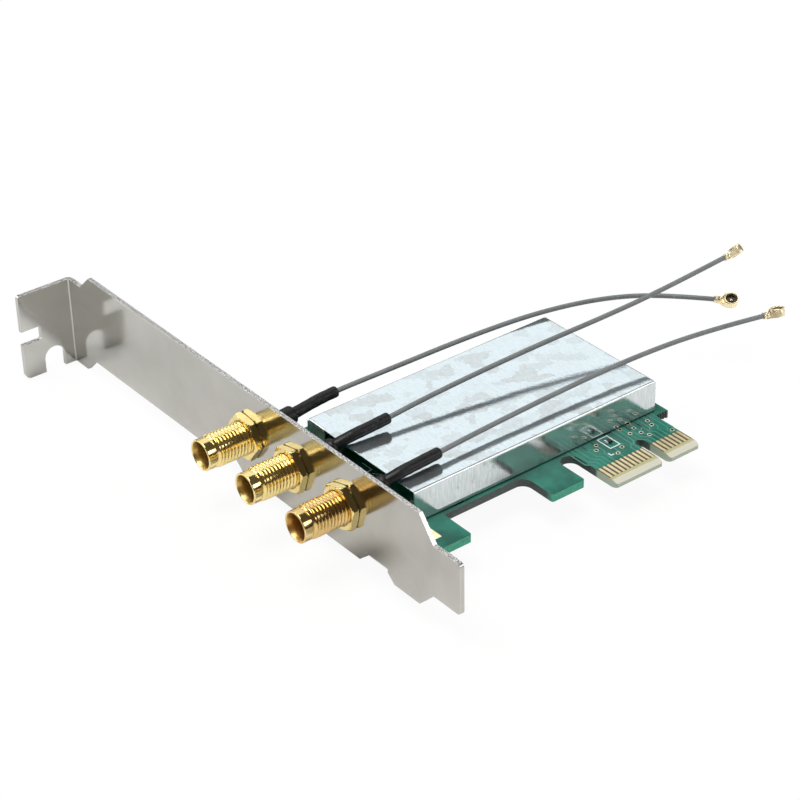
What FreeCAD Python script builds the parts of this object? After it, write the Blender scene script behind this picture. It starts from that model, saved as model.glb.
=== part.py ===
"""Wireless network card for an expansion slot.

A slotted bracket carries an adapter board with a shield, three aerial jacks and
the three leads that run from them to small press-on plugs.

Everything is drawn in the bracket's own frame: X runs along the bracket from the
screw tab to the tongue, Y points from the outside of the case inwards, and Z rises
from the solder side to the component side. The last step moves the whole card so
that the origin lies under the middle of its box. All sizes are in millimetres.
"""
import FreeCAD, Part
import math
import os

Vec = FreeCAD.Vector
X, Y, Z = Vec(1, 0, 0), Vec(0, 1, 0), Vec(0, 0, 1)

# Bracket: one sheet with a folded screw tab and two folded ears
sheet_t = 0.86
fold_r = 0.30
bracket_len = 120.02
body_w = 18.42
tab_drop = 3.18
tab_reach = 11.43
step_x = 5.15
shoulder_x = 109.40
shoulder_run = 3.70
tongue_z = 3.66
tongue_w = 10.19
tongue_corner_r = 0.80
tab_corner_r = 1.20
screw_slot_w = 4.42
screw_slot_y = -4.65
screw_slot_depth = 5.05
full_round = 0.999
side_notch_w = 2.95
side_notch_depth = 4.20
side_notch_z = 5.95
side_notch_corner_r = 0.30
ear_xs = (53.40, 97.80)
ear_w = 6.00
ear_slope = 1.80
ear_reach = 12.60
ear_hole_dx = 0.80
ear_hole_inset = 3.60

# Board, its component face above the bracket's lower edge
board_t = 1.57
board_face_z = 3.94
board_y0 = 1.20
board_y1 = 68.70
board_x0 = 58.60
board_front_gap = 0.90
lug_x0 = 50.20
lug_margin = 4.20
foot_x = 103.90
foot_inner_y = 15.90
foot_outer_y0 = 34.20
foot_outer_w = 7.60
foot_fillet_r = 2.00
corner_r = 0.50
pin_first_y = 46.00
pin_pitch = 1.00
pins_long_side = 11
pins_short_side = 7
key_gap = 3.00
pin_w = 0.70
pin_len = 3.35
pin_t = 0.05
pin_inset = 2.00
edge_margin = 0.55
edge_end_x = 108.30
edge_bevel_len = 1.25
edge_bevel_depth = 0.42
key_slot_w = 1.90
key_slot_end_x = 100.50
side_slot_end_x = 96.20
shoulder_front_x = 96.80
bite_count = 4
bite_r = 0.28

# Rivets that hold the ears, and the bare pads round them
rivet_shank_r = 1.50
rivet_bore_r = 1.00
rivet_flange_r = 2.60
rivet_flange_t = 0.60
rivet_rim_r = 1.85
rivet_rim_t = 0.25
rivet_lip_r = 1.20
pad_side = 5.00
pad_t = 0.04

# Shield: one folded sheet, open towards the bracket
shield_t = 0.25
shield_fold_r = 0.20
shield_mid_x = 80.075
shield_y0 = 10.15
shield_y1 = 66.65
shield_h = 6.60
shield_lip_w = 4.60
shield_leg_w = 2.20
shield_leg_ys = (20.00, 55.00)
leg_clear = 0.15

# Socket for the radio module, its contacts and the two standoffs
socket_w = 29.40
socket_side_gap = 0.375
socket_depth = 7.60
socket_h = 4.10
socket_back_y = 65.30
socket_slot_z = 2.00
socket_slot_h = 1.10
socket_slot_depth = 4.80
socket_end_wall = 1.30
socket_chamfer = 0.40
contact_pitch = 0.80
contact_w = 0.26
contact_t = 0.16
contact_foot = 0.90
contacts_small_side = 8
contacts_large_side = 18
contact_key_gap = 2.40
contact_clear = 0.04
low_contact_ys = (1.20, 2.00, 2.80, 3.60)
high_contact_ys = (1.60, 2.00, 2.40, 2.80)
key_rib_w = 1.00
standoff_r = 2.20
standoff_bore_r = 0.90
standoff_inset = 2.60
standoff_y = 14.60

# Small chips: centre X, centre Y, length, width, height
chip_cap_t = 0.30
chip_step = 0.03
capacitors = ((69.5, 49.0), (73.0, 49.0), (76.5, 49.0), (86.0, 49.0), (69.5, 22.0), (90.5, 22.0))
capacitor_size = (2.00, 1.25, 1.10)
resistors = ((83.0, 24.0), (83.0, 26.5), (83.0, 29.0), (97.7, 53.1))
resistor_size = (1.00, 1.60, 0.50)
regulator_x, regulator_y = 74.50, 27.00
regulator_size = (6.50, 3.50, 1.70)
regulator_leg_w = 0.70
regulator_leg_pitch = 2.30
regulator_leg_reach = 1.50
regulator_leg_t = 0.25
regulator_leg_h = 0.70
regulator_knee_share = 0.55
regulator_tab_w = 2.80
regulator_taper = 0.18
regulator_gap = 0.05

# Aerial jacks, all three alike
jack_xs = (60.90, 74.50, 89.15)
jack_z = body_w / 2
thread_r = 3.175
engaged_r = 2.95
free_thread_gap = 0.15
hole_clear = 0.075
jack_reach = 10.40
collar_len = 1.90
collar_r = 2.98
collar_groove = 0.30
rim_chamfer = 0.12
jack_mouth_r = 2.66
jack_mouth_len = 1.10
jack_bore_r = 2.32
jack_bore_depth = 7.20
jack_seat_r = 1.60
jack_back_wall = 0.50
flange_af = 8.00
flange_t = 2.00
nut_af = 8.00
nut_t = 1.55
nut_chamfer = 0.35
nut_chamfer_slope = 1.70
nut_margin = 0.02
nut_turns = (-4.7, 12.3, 16.0)
insulator_r = 2.10
insulator_t = 2.60
centre_pin_r = 0.46
centre_pin_reach = 3.10
ferrule_r = 1.42
ferrule_len = 1.30
sleeve_big_r = 1.85
sleeve_small_r = 1.07
sleeve_round_r = 0.60

# Aerial leads: routes chosen by hand, each ending in a small press-on plug
lead_d = 0.95
lead_start_y = sheet_t + flange_t
arc_share = 0.45
routes = (
    ((60.90, lead_start_y, jack_z), (60.90, 5.40, jack_z), (60.80, 10.30, 9.65), (60.75, 17.50, 10.60),
     (61.60, 31.00, 11.00), (62.50, 50.00, 11.40), (64.20, 66.00, 11.50), (68.00, 79.50, 11.30),
     (73.60, 88.90, 10.90), (80.60, 96.10, 10.30)),
    ((74.50, lead_start_y, jack_z), (74.50, 5.40, jack_z), (76.30, 9.30, 12.00), (76.50, 17.30, 12.40),
     (76.50, 30.50, 13.50), (77.60, 52.00, 15.00), (80.00, 72.00, 16.70), (80.80, 85.00, 17.90),
     (80.75, 98.00, 18.80)),
    ((89.15, lead_start_y, jack_z), (89.15, 5.40, jack_z), (90.80, 9.30, 12.00), (90.60, 17.20, 12.20),
     (90.00, 30.00, 12.50), (89.70, 50.00, 12.95), (90.10, 66.00, 13.30), (92.00, 82.00, 13.60),
     (94.50, 95.10, 13.10)),
)
sleeve_shoulders_y = (10.00, 8.30, 8.30)
sleeve_ends_y = (19.50, 19.40, 19.60)
plug_ring_r = 1.30
plug_wall = 0.18
plug_ring_h = 1.25
plug_ring_along = 3.30
plug_plate_t = 0.20
plug_plate_w = 2.50
plug_plate_start = 1.30
plug_crimp_len = 1.20
plug_crimp_r = 0.68
plug_cheek_h = 1.00
plug_neck_w = 0.95
plug_core_r = 0.36
plug_core_foot_h = 0.44
plug_core_h = 0.75
plug_contact_r = 0.24
plug_contact_h = 0.81
plug_faces = (Vec(0.35, -0.25, 0.90), Vec(-0.75, -0.20, 0.62), Vec(-0.35, -0.30, 0.89))

# Values that follow from the sizes above
board_bottom_z = board_face_z - board_t
bend_outer_r = fold_r + sheet_t
ear_z0 = board_bottom_z - sheet_t
ear_hole_y = ear_reach - ear_hole_inset
lug_y1 = ear_hole_y + lug_margin
pin_key_y = pin_first_y + (pins_long_side - 1) * pin_pitch
pin_after_key_y = pin_key_y + key_gap
pin_last_y = pin_after_key_y + (pins_short_side - 1) * pin_pitch
tongue_y0 = pin_first_y - edge_margin
tongue_y1 = pin_last_y + edge_margin
key_slot_y = (pin_key_y + pin_after_key_y) / 2
foot_outer_y1 = foot_outer_y0 + foot_outer_w
hole_xs = tuple(x + ear_hole_dx for x in ear_xs)
shield_bend_r = shield_fold_r + shield_t
socket_x0 = shield_mid_x - socket_w / 2
shield_x0 = socket_x0 - socket_side_gap - shield_t
shield_x1 = shield_mid_x + socket_w / 2 + socket_side_gap + shield_t
board_front_x = shield_x1 + board_front_gap
shield_top_z = board_face_z + shield_h
socket_front_y = socket_back_y - socket_depth
socket_slot_floor_z = board_face_z + socket_slot_z
body_mid = Vec(-bracket_len / 2, -(board_y1 - tab_reach) / 2, tab_drop)


def outline(points, plane="XY", at=0.0):
    """Closed wire through (a, b, radius) corners; each radius becomes a tangent arc."""
    count = len(points)
    place = {
        "XY": lambda a, b: Vec(a, b, at),
        "XZ": lambda a, b: Vec(a, at, b),
        "YZ": lambda a, b: Vec(at, a, b),
    }
    corners = [(place[plane](a, b), r) for a, b, r in points]
    edges, ends = [], []
    for i, (corner, radius) in enumerate(corners):
        back = (corners[i - 1][0] - corner).normalize()
        ahead = (corners[(i + 1) % count][0] - corner).normalize()
        half = back.getAngle(ahead) / 2
        if radius <= 0:
            ends.append((corner, corner, None))
            continue
        reach = radius / math.tan(half)
        inner = (back + ahead).normalize() * (radius / math.sin(half) - radius)
        ends.append((corner + back * reach, corner + ahead * reach, corner + inner))
    for i, (start, end, middle) in enumerate(ends):
        if middle is not None:
            edges.append(Part.Arc(start, middle, end).toShape())
        following = ends[(i + 1) % count][0]
        if end.distanceToPoint(following) > 1e-6:
            edges.append(Part.LineSegment(end, following).toShape())
    return Part.Wire(edges)


def prism(points, plane, at, depth):
    """Solid of a profile given in a plane, pushed along that plane's normal."""
    normal = {"XY": Z, "XZ": Y, "YZ": X}[plane]
    return Part.Face(outline(points, plane, at)).extrude(normal * depth)


def block(x0, x1, y0, y1, z0, z1):
    """Rectangular solid between two corners."""
    return Part.makeBox(x1 - x0, y1 - y0, z1 - z0, Vec(x0, y0, z0))


def turned(profile, x, z):
    """Solid of revolution about the jack axis from (along Y, radius) points."""
    wire = Part.makePolygon([Vec(x + r, y, z) for y, r in profile + profile[:1]])
    return Part.Face(wire).revolve(Vec(x, 0, z), Y, 360)


def hexagon(x, z, across_flats, turn, y0, y1):
    """Hexagonal prism along Y whose first corner is turned from +X towards +Z."""
    corner_r = across_flats / 2 / math.cos(math.pi / 6)
    points = []
    for i in range(6):
        angle = math.radians(turn + 60 * i)
        points.append((x + corner_r * math.cos(angle), z + corner_r * math.sin(angle), 0))
    return prism(points, "XZ", y0, y1 - y0)


def pipe_path(points):
    """Straight runs joined by tangent arcs, as large as the two runs at each point allow."""
    route = [Vec(*p) for p in points]
    edges, radii, start = [], [], route[0]
    for before, corner, after in zip(route, route[1:], route[2:]):
        back, ahead = before - corner, after - corner
        reach = arc_share * min(back.Length, ahead.Length)
        back.normalize()
        ahead.normalize()
        half = back.getAngle(ahead) / 2
        radius = reach * math.tan(half)
        middle = corner + (back + ahead).normalize() * (radius / math.sin(half) - radius)
        edges.append(Part.LineSegment(start, corner + back * reach).toShape())
        edges.append(Part.Arc(corner + back * reach, middle, corner + ahead * reach).toShape())
        start = corner + ahead * reach
        radii.append(radius)
    edges.append(Part.LineSegment(start, route[-1]).toShape())
    return Part.Wire(edges), radii


def pipe(path, radius):
    """Round tube solid along a path that starts along +Y."""
    start = path.Edges[0].firstVertex().Point
    ring = Part.Wire(Part.makeCircle(radius, start, Y))
    return path.makePipeShell([ring], True, False)


def is_circle_round(edge, point):
    """Whether an edge is a full circle centred on a point."""
    return edge.isClosed() and edge.CenterOfMass.distanceToPoint(point) < 1e-3


def truncated(points, end_y):
    """The route up to a given Y, its last run cut short there."""
    kept = [p for p in points if p[1] < end_y]
    last, following = kept[-1], points[len(kept)]
    share = (end_y - last[1]) / (following[1] - last[1])
    kept.append(tuple(a + (b - a) * share for a, b in zip(last, following)))
    return kept


def bracket():
    """Slotted bracket folded from one sheet, with its screw tab and its two ears."""
    tab_top = body_w - tab_drop
    tongue_top = tongue_z + tongue_w
    plate = prism([
        (step_x, -tab_drop, 0), (step_x + tab_drop, 0, 0), (shoulder_x, 0, 0),
        (shoulder_x + shoulder_run, tongue_z, 0), (bracket_len, tongue_z, tongue_corner_r),
        (bracket_len, tongue_top, tongue_corner_r), (shoulder_x + shoulder_run, tongue_top, 0),
        (shoulder_x, body_w, 0), (step_x + tab_drop, body_w, 0), (step_x, tab_top, 0)], "XZ", 0, sheet_t)
    tab = prism([
        (0, -tab_reach, 0), (sheet_t, -tab_reach, 0), (sheet_t, 0, fold_r),
        (step_x, 0, 0), (step_x, sheet_t, 0), (0, sheet_t, bend_outer_r)], "XY", -tab_drop, body_w)
    tab_form = prism([
        (-tab_reach, -tab_drop, tab_corner_r), (sheet_t, -tab_drop, 0), (sheet_t, tab_top, 0),
        (-tab_reach, tab_top, tab_corner_r / 2)], "YZ", -1, step_x + 2)
    slot_half = screw_slot_w / 2
    slot_top = -tab_drop + screw_slot_depth
    slot = prism([
        (screw_slot_y - slot_half, -tab_drop - 1, 0), (screw_slot_y + slot_half, -tab_drop - 1, 0),
        (screw_slot_y + slot_half, slot_top, slot_half * full_round),
        (screw_slot_y - slot_half, slot_top, slot_half * full_round)],
        "YZ", -1, sheet_t + 2)
    notch_half = side_notch_w / 2
    notch = prism([
        (-tab_reach - 1, side_notch_z - notch_half, 0),
        (-tab_reach + side_notch_depth, side_notch_z - notch_half, side_notch_corner_r),
        (-tab_reach + side_notch_depth, side_notch_z + notch_half, side_notch_corner_r),
        (-tab_reach - 1, side_notch_z + notch_half, 0)],
        "YZ", -1, sheet_t + 2)
    solid = plate.fuse(tab.common(tab_form).cut(slot).cut(notch))
    for ear_x, hole_x in zip(ear_xs, hole_xs):
        x0, x1 = ear_x - ear_w / 2, ear_x + ear_w / 2
        fold_top = ear_z0 + bend_outer_r
        solid = solid.cut(prism([
            (x0 - ear_slope, -1, 0), (x0 - ear_slope, 0, 0), (x0, ear_z0, 0), (x0, fold_top, 0),
            (x1, fold_top, 0), (x1, ear_z0, 0), (x1 + ear_slope, 0, 0), (x1 + ear_slope, -1, 0)],
            "XZ", -1, sheet_t + 2))
        ear = prism([
            (0, ear_z0, bend_outer_r), (ear_reach, ear_z0, 0), (ear_reach, board_bottom_z, 0),
            (sheet_t, board_bottom_z, fold_r), (sheet_t, fold_top + fold_r, 0), (0, fold_top + fold_r, 0)],
            "YZ", x0, ear_w)
        hole = Part.makeCylinder(rivet_shank_r, sheet_t * 3, Vec(hole_x, ear_hole_y, ear_z0 - sheet_t))
        solid = solid.fuse(ear).cut(hole)
    for x in jack_xs:
        solid = solid.cut(Part.makeCylinder(thread_r + hole_clear, sheet_t + 2, Vec(x, -1, jack_z), Y))
    return solid.removeSplitter()


def leg_boxes(clear):
    """The shield's four locating legs, or with a clearance the board's slots for them."""
    boxes = []
    for y in shield_leg_ys:
        for x in (shield_x0, shield_x1 - shield_t):
            boxes.append(block(x - clear, x + shield_t + clear, y - shield_leg_w / 2 - clear,
                               y + shield_leg_w / 2 + clear, board_bottom_z, board_face_z))
    return boxes


def circuit_board():
    """Adapter board with feet, keyed edge tongue, riveting lug and its holes."""
    key_half = key_slot_w / 2
    side_half = (tongue_y0 - foot_outer_y1) / 2
    board = prism([
        (lug_x0, board_y0, corner_r), (foot_x, board_y0, corner_r), (foot_x, foot_inner_y, corner_r),
        (board_front_x, foot_inner_y, corner_r), (board_front_x, foot_outer_y0, foot_fillet_r),
        (foot_x, foot_outer_y0, corner_r), (foot_x, foot_outer_y1, corner_r),
        (side_slot_end_x, foot_outer_y1, side_half * full_round),
        (side_slot_end_x, tongue_y0, side_half * full_round),
        (edge_end_x, tongue_y0, corner_r), (edge_end_x, key_slot_y - key_half, corner_r),
        (key_slot_end_x, key_slot_y - key_half, key_half * full_round),
        (key_slot_end_x, key_slot_y + key_half, key_half * full_round),
        (edge_end_x, key_slot_y + key_half, corner_r),
        (edge_end_x, tongue_y1, corner_r), (shoulder_front_x, tongue_y1, 0),
        (shoulder_front_x, board_y1, 0), (board_x0, board_y1, corner_r), (board_x0, lug_y1, corner_r),
        (lug_x0, lug_y1, corner_r)], "XY", board_bottom_z, board_t)
    bevel_x = edge_end_x - edge_bevel_len
    for z, inwards in ((board_face_z, -1), (board_bottom_z, 1)):
        board = board.cut(prism([
            (bevel_x, z, 0), (edge_end_x, z, 0), (edge_end_x, z + inwards * edge_bevel_depth, 0)],
            "XZ", tongue_y0 - 1, tongue_y1 - tongue_y0 + 2))
    tools = leg_boxes(leg_clear)
    for x in hole_xs:
        tools.append(Part.makeCylinder(rivet_shank_r, board_t, Vec(x, ear_hole_y, board_bottom_z)))
    bite_step = (board_y1 - tongue_y1) / (bite_count + 1)
    for i in range(bite_count):
        bite_y = tongue_y1 + bite_step * (i + 1)
        tools.append(Part.makeCylinder(bite_r, board_t, Vec(shoulder_front_x, bite_y, board_bottom_z)))
    return board.cut(Part.makeCompound(tools))


def edge_contacts():
    """Gold fingers of the edge tongue, on both faces."""
    ys = [pin_first_y + i * pin_pitch for i in range(pins_long_side)]
    ys += [pin_after_key_y + i * pin_pitch for i in range(pins_short_side)]
    end_x = edge_end_x - pin_inset
    fingers = []
    for z in (board_face_z, board_bottom_z - pin_t):
        for y in ys:
            fingers.append(block(end_x - pin_len, end_x, y - pin_w / 2, y + pin_w / 2, z, z + pin_t))
    return fingers


def mounting_pads():
    """Bare gold squares round the two rivets on the component face."""
    pads = []
    for x in hole_xs:
        pad = block(x - pad_side / 2, x + pad_side / 2, ear_hole_y - pad_side / 2, ear_hole_y + pad_side / 2,
                    board_face_z, board_face_z + pad_t)
        pads.append(pad.cut(Part.makeCylinder(rivet_shank_r, board_t, Vec(x, ear_hole_y, board_face_z))))
    return pads


def bracket_rivets():
    """Hollow rivets through the ears and the board, closed over the pads."""
    rivets = []
    top = board_face_z + pad_t
    for x in hole_xs:
        base = Vec(x, ear_hole_y, ear_z0)
        flange = Part.makeCylinder(rivet_flange_r, rivet_flange_t, base - Z * rivet_flange_t)
        shank = Part.makeCylinder(rivet_shank_r, top - ear_z0, base)
        rim = Part.makeCone(rivet_rim_r, rivet_lip_r, rivet_rim_t, Vec(x, ear_hole_y, top))
        bore = Part.makeCylinder(rivet_bore_r, board_t * 5, base - Z * board_t)
        rivets.append(flange.fuse(shank).fuse(rim).cut(bore).removeSplitter())
    return rivets


def shield_cover():
    """Shield folded from one thin sheet: roof, three walls, a short lip and four legs."""
    r, t = shield_bend_r, shield_t
    x0, x1, y0, y1 = shield_x0, shield_x1, shield_y0, shield_y1
    base, top = board_face_z, shield_top_z
    channel = prism([
        (x0, base, 0), (x0 + t, base, 0), (x0 + t, top - t, shield_fold_r), (x1 - t, top - t, shield_fold_r),
        (x1 - t, base, 0), (x1, base, 0), (x1, top, r), (x0, top, r)], "XZ", y0, y1 - y0)
    end_cut = block(x0 - 1, x1 + 1, y1 - r, y1 + 1, top - r, top + 1)
    lip_cut = block(x0 - 1, x0 + r + shield_lip_w, y0 - 1, y0 + r, top - r, top + 1)
    far_wall = prism([
        (y1 - r - t, top - t, 0), (y1 - t, top - t, shield_fold_r), (y1 - t, base, 0), (y1, base, 0),
        (y1, top, r), (y1 - r - t, top, 0)], "YZ", x0 + r, x1 - x0 - 2 * r)
    lip = prism([
        (y0 + r + t, top - t, 0), (y0 + t, top - t, shield_fold_r), (y0 + t, base, 0), (y0, base, 0),
        (y0, top, r), (y0 + r + t, top, 0)], "YZ", x0 + r, shield_lip_w)
    shield = channel.cut(end_cut).cut(lip_cut).fuse(far_wall).fuse(lip)
    return shield.fuse(leg_boxes(0)).removeSplitter()


def contact_columns():
    """X of each contact column, with the gap for the module's key."""
    span = (contacts_small_side + contacts_large_side - 2) * contact_pitch + contact_key_gap
    x = socket_x0 + (socket_w - span) / 2
    columns = [x + i * contact_pitch for i in range(contacts_small_side)]
    x = columns[-1] + contact_key_gap
    return columns + [x + i * contact_pitch for i in range(contacts_large_side)]


def contact_profiles():
    """Side outlines in Y and height of a lower and an upper socket contact."""
    base, t = board_face_z, contact_t
    front, back = socket_front_y, socket_back_y
    floor, roof = socket_slot_floor_z, socket_slot_floor_z + socket_slot_h
    rise, crest_0, crest_1, end = (front + share for share in low_contact_ys)
    low = [(front - contact_foot, base), (rise, base), (rise, floor - t), (end, floor - t),
           (end, floor), (crest_1, floor + t), (crest_0, floor), (rise - t, floor),
           (rise - t, base + t), (front - contact_foot, base + t)]
    tip, dip_0, dip_1, dip_2 = (front + share for share in high_contact_ys)
    high = [(back + contact_foot, base), (back, base), (back, roof), (dip_2, roof), (dip_1, roof - t),
            (dip_0, roof), (tip, roof), (tip, roof + t), (back + t, roof + t),
            (back + t, base + t), (back + contact_foot, base + t)]
    return low, high


def socket_contacts():
    """All sprung contacts of the module socket, each bent from one strip."""
    contacts = []
    for profile in contact_profiles():
        points = [(y, z, 0) for y, z in profile]
        for x in contact_columns():
            contacts.append(prism(points, "YZ", x - contact_w / 2, contact_w))
    return contacts


def mini_card_socket():
    """Socket body with the card slot, its key rib and a channel for each contact."""
    c = socket_chamfer
    y0, y1, z0, z1 = socket_front_y, socket_back_y, board_face_z, board_face_z + socket_h
    floor, roof = socket_slot_floor_z, socket_slot_floor_z + socket_slot_h
    body = prism([
        (y0, z0, 0), (y1, z0, 0), (y1, z1 - c, 0), (y1 - c, z1, 0), (y0 + c, z1, 0), (y0, z1 - c, 0)],
        "YZ", socket_x0, socket_w)
    slot = block(socket_x0 + socket_end_wall, socket_x0 + socket_w - socket_end_wall, y0 - 1,
                 y0 + socket_slot_depth, floor, roof)
    columns = contact_columns()
    key_x = (columns[contacts_small_side - 1] + columns[contacts_small_side]) / 2
    rib = block(key_x - key_rib_w / 2, key_x + key_rib_w / 2, y0, y0 + socket_slot_depth, floor, roof)
    body = body.cut(slot.cut(rib))
    half, strip = contact_w / 2 + contact_clear, contact_t + contact_clear
    rise, low_end, high_tip = y0 + low_contact_ys[0], y0 + low_contact_ys[-1], y0 + high_contact_ys[0]
    channels = []
    for x in columns:
        channels.append(block(x - half, x + half, rise - strip, low_end + contact_clear, z0, floor))
        channels.append(block(x - half, x + half, y0 - 1, rise, z0, z0 + strip))
        channels.append(block(x - half, x + half, high_tip - contact_clear, y1 + 1, roof, roof + strip))
    return body.cut(Part.makeCompound(channels))


def module_standoffs():
    """Two threaded posts that carry the free end of a radio module."""
    posts = []
    for x in (socket_x0 + standoff_inset, socket_x0 + socket_w - standoff_inset):
        foot = Vec(x, standoff_y, board_face_z)
        post = Part.makeCylinder(standoff_r, socket_slot_z, foot)
        posts.append(post.cut(Part.makeCylinder(standoff_bore_r, socket_slot_z, foot)))
    return posts


def chip(x, y, size):
    """Chip part: two end caps and a slightly thinner body between them, along its longer side."""
    length, width, height = size
    z, low, high = board_face_z, board_face_z + chip_step, board_face_z + height - chip_step
    caps, body = [], None
    if length >= width:
        for end in (x - length / 2, x + length / 2 - chip_cap_t):
            caps.append(block(end, end + chip_cap_t, y - width / 2, y + width / 2, z, z + height))
        body = block(x - length / 2 + chip_cap_t, x + length / 2 - chip_cap_t,
                     y - width / 2 + chip_step, y + width / 2 - chip_step, low, high)
    else:
        for end in (y - width / 2, y + width / 2 - chip_cap_t):
            caps.append(block(x - length / 2, x + length / 2, end, end + chip_cap_t, z, z + height))
        body = block(x - length / 2 + chip_step, x + length / 2 - chip_step,
                     y - width / 2 + chip_cap_t, y + width / 2 - chip_cap_t, low, high)
    return body.fuse(caps)


def voltage_regulator():
    """Small power package with three bent legs and a heat tab."""
    x, y = regulator_x, regulator_y
    length, width, height = regulator_size
    z, t = board_face_z, regulator_leg_t
    top, knee = z + regulator_leg_h, regulator_leg_reach * regulator_knee_share
    body = prism([
        (y - width / 2, z + regulator_gap, 0), (y + width / 2, z + regulator_gap, 0),
        (y + width / 2 + regulator_taper, z + height / 2, 0), (y + width / 2, z + height, 0),
        (y - width / 2, z + height, 0), (y - width / 2 - regulator_taper, z + height / 2, 0)],
        "YZ", x - length / 2, length)
    for side, widths in ((-1, (regulator_leg_w,) * 3), (1, (regulator_tab_w,))):
        edge = y + side * width / 2
        for i, leg_w in enumerate(widths):
            leg_x = x + (i - (len(widths) - 1) / 2) * regulator_leg_pitch
            points = [
                (edge, top, 0), (edge + side * knee, top, 0), (edge + side * knee, z + t, 0),
                (edge + side * regulator_leg_reach, z + t, 0), (edge + side * regulator_leg_reach, z, 0),
                (edge + side * (knee - t), z, 0), (edge + side * (knee - t), top - t, 0), (edge, top - t, 0)]
            body = body.fuse(prism(points, "YZ", leg_x - leg_w / 2, leg_w))
    return body.removeSplitter()


def antenna_jack(x):
    """Turned jack body: collar, free thread, thread in the nut, hexagonal shoulder, flared bore.

    The free thread keeps its outer radius; in the nut both threads are drawn at the radius
    where their flanks meet.
    """
    tip, back = -jack_reach, sheet_t + flange_t
    seat_y = tip + jack_bore_depth
    body = turned([
        (tip, jack_mouth_r), (tip, collar_r - rim_chamfer), (tip + rim_chamfer, collar_r),
        (tip + collar_len - collar_groove, collar_r), (tip + collar_len, collar_r - collar_groove),
        (tip + collar_len + collar_groove, thread_r), (-nut_t - free_thread_gap, thread_r),
        (-nut_t - free_thread_gap, engaged_r), (0, engaged_r), (0, thread_r), (sheet_t, thread_r),
        (sheet_t, jack_seat_r), (seat_y + insulator_t, jack_seat_r),
        (seat_y + insulator_t, insulator_r), (seat_y, insulator_r), (seat_y, jack_bore_r),
        (tip + jack_mouth_len, jack_bore_r)], x, jack_z)
    flange = hexagon(x, jack_z, flange_af, 0, sheet_t, back)
    bore = Part.makeCylinder(jack_seat_r, flange_t * 3, Vec(x, sheet_t - flange_t, jack_z), Y)
    lip = Part.makeCylinder(jack_seat_r, jack_back_wall, Vec(x, back - jack_back_wall, jack_z), Y)
    exit_hole = Part.makeCylinder(lead_d / 2, flange_t, Vec(x, back - flange_t / 2, jack_z), Y)
    return body.fuse(flange.cut(bore)).fuse(lip.cut(exit_hole)).removeSplitter()


def jack_insulator(x):
    """White ring between the jack body and its centre pin."""
    seat_y = -jack_reach + jack_bore_depth
    disc = Part.makeCylinder(insulator_r, insulator_t, Vec(x, seat_y, jack_z), Y)
    stem = Part.makeCylinder(jack_seat_r, lead_start_y - jack_back_wall - seat_y - insulator_t,
                             Vec(x, seat_y + insulator_t, jack_z), Y)
    core = Part.makeCylinder(centre_pin_r, jack_reach * 2, Vec(x, seat_y - 1, jack_z), Y)
    return disc.fuse(stem).cut(core).removeSplitter()


def jack_centre_pin(x):
    """Centre contact with a pointed tip, standing in the open bore."""
    seat_y = -jack_reach + jack_bore_depth
    tip_y = seat_y - centre_pin_reach
    back_y = lead_start_y - jack_back_wall
    return turned([
        (tip_y, 0), (tip_y, centre_pin_r / 2), (tip_y + centre_pin_r, centre_pin_r), (back_y, centre_pin_r),
        (back_y, 0)], x, jack_z)


def jack_nut(x, turn):
    """Hexagonal nut on the outside of the bracket, its corners turned off on both faces."""
    corner_r = nut_af / 2 / math.cos(math.pi / 6)
    hexa = hexagon(x, jack_z, nut_af, turn, -nut_t, 0)
    outer, face_r = corner_r + nut_margin, corner_r - nut_chamfer * nut_chamfer_slope
    cone = turned([
        (-nut_t, 0), (-nut_t, face_r), (-nut_t + nut_chamfer, outer), (-nut_chamfer / 2, outer),
        (0, corner_r - nut_chamfer), (0, 0)], x, jack_z)
    return hexa.common(cone).cut(Part.makeCylinder(engaged_r, nut_t * 3, Vec(x, -nut_t * 2, jack_z), Y))


def crimp_ferrule(x):
    """Short tube crimped on the lead behind the jack."""
    start = Vec(x, lead_start_y, jack_z)
    tube = Part.makeCylinder(ferrule_r, ferrule_len, start, Y)
    return tube.cut(Part.makeCylinder(lead_d / 2, ferrule_len, start, Y))


def heat_shrink(x, route, shoulder_y, end_y, lead):
    """Shrunk sleeve: a wide part with a rounded shoulder, then a tight part along the lead."""
    way = truncated(route, shoulder_y)
    end = Vec(*way[-1])
    wide = pipe(pipe_path(way)[0], sleeve_big_r)
    wide = wide.makeFillet(sleeve_round_r, [e for e in wide.Edges if is_circle_round(e, end)])
    tight = pipe(pipe_path(truncated(route, end_y))[0], sleeve_small_r)
    ferrule = Part.makeCylinder(ferrule_r, ferrule_len, Vec(x, lead_start_y, jack_z), Y)
    return wide.fuse(tight).cut(ferrule).cut(lead)


def plug_frame(route, face):
    """Placement of a plug: its own X along the lead's end, its own Z towards the mating face."""
    end = Vec(*route[-1])
    along = (end - Vec(*route[-2])).normalize()
    up = (face - along * face.dot(along)).normalize()
    return FreeCAD.Placement(FreeCAD.Matrix(
        along.x, up.cross(along).x, up.x, end.x, along.y, up.cross(along).y, up.y, end.y,
        along.z, up.cross(along).z, up.z, end.z, 0, 0, 0, 1))


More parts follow.
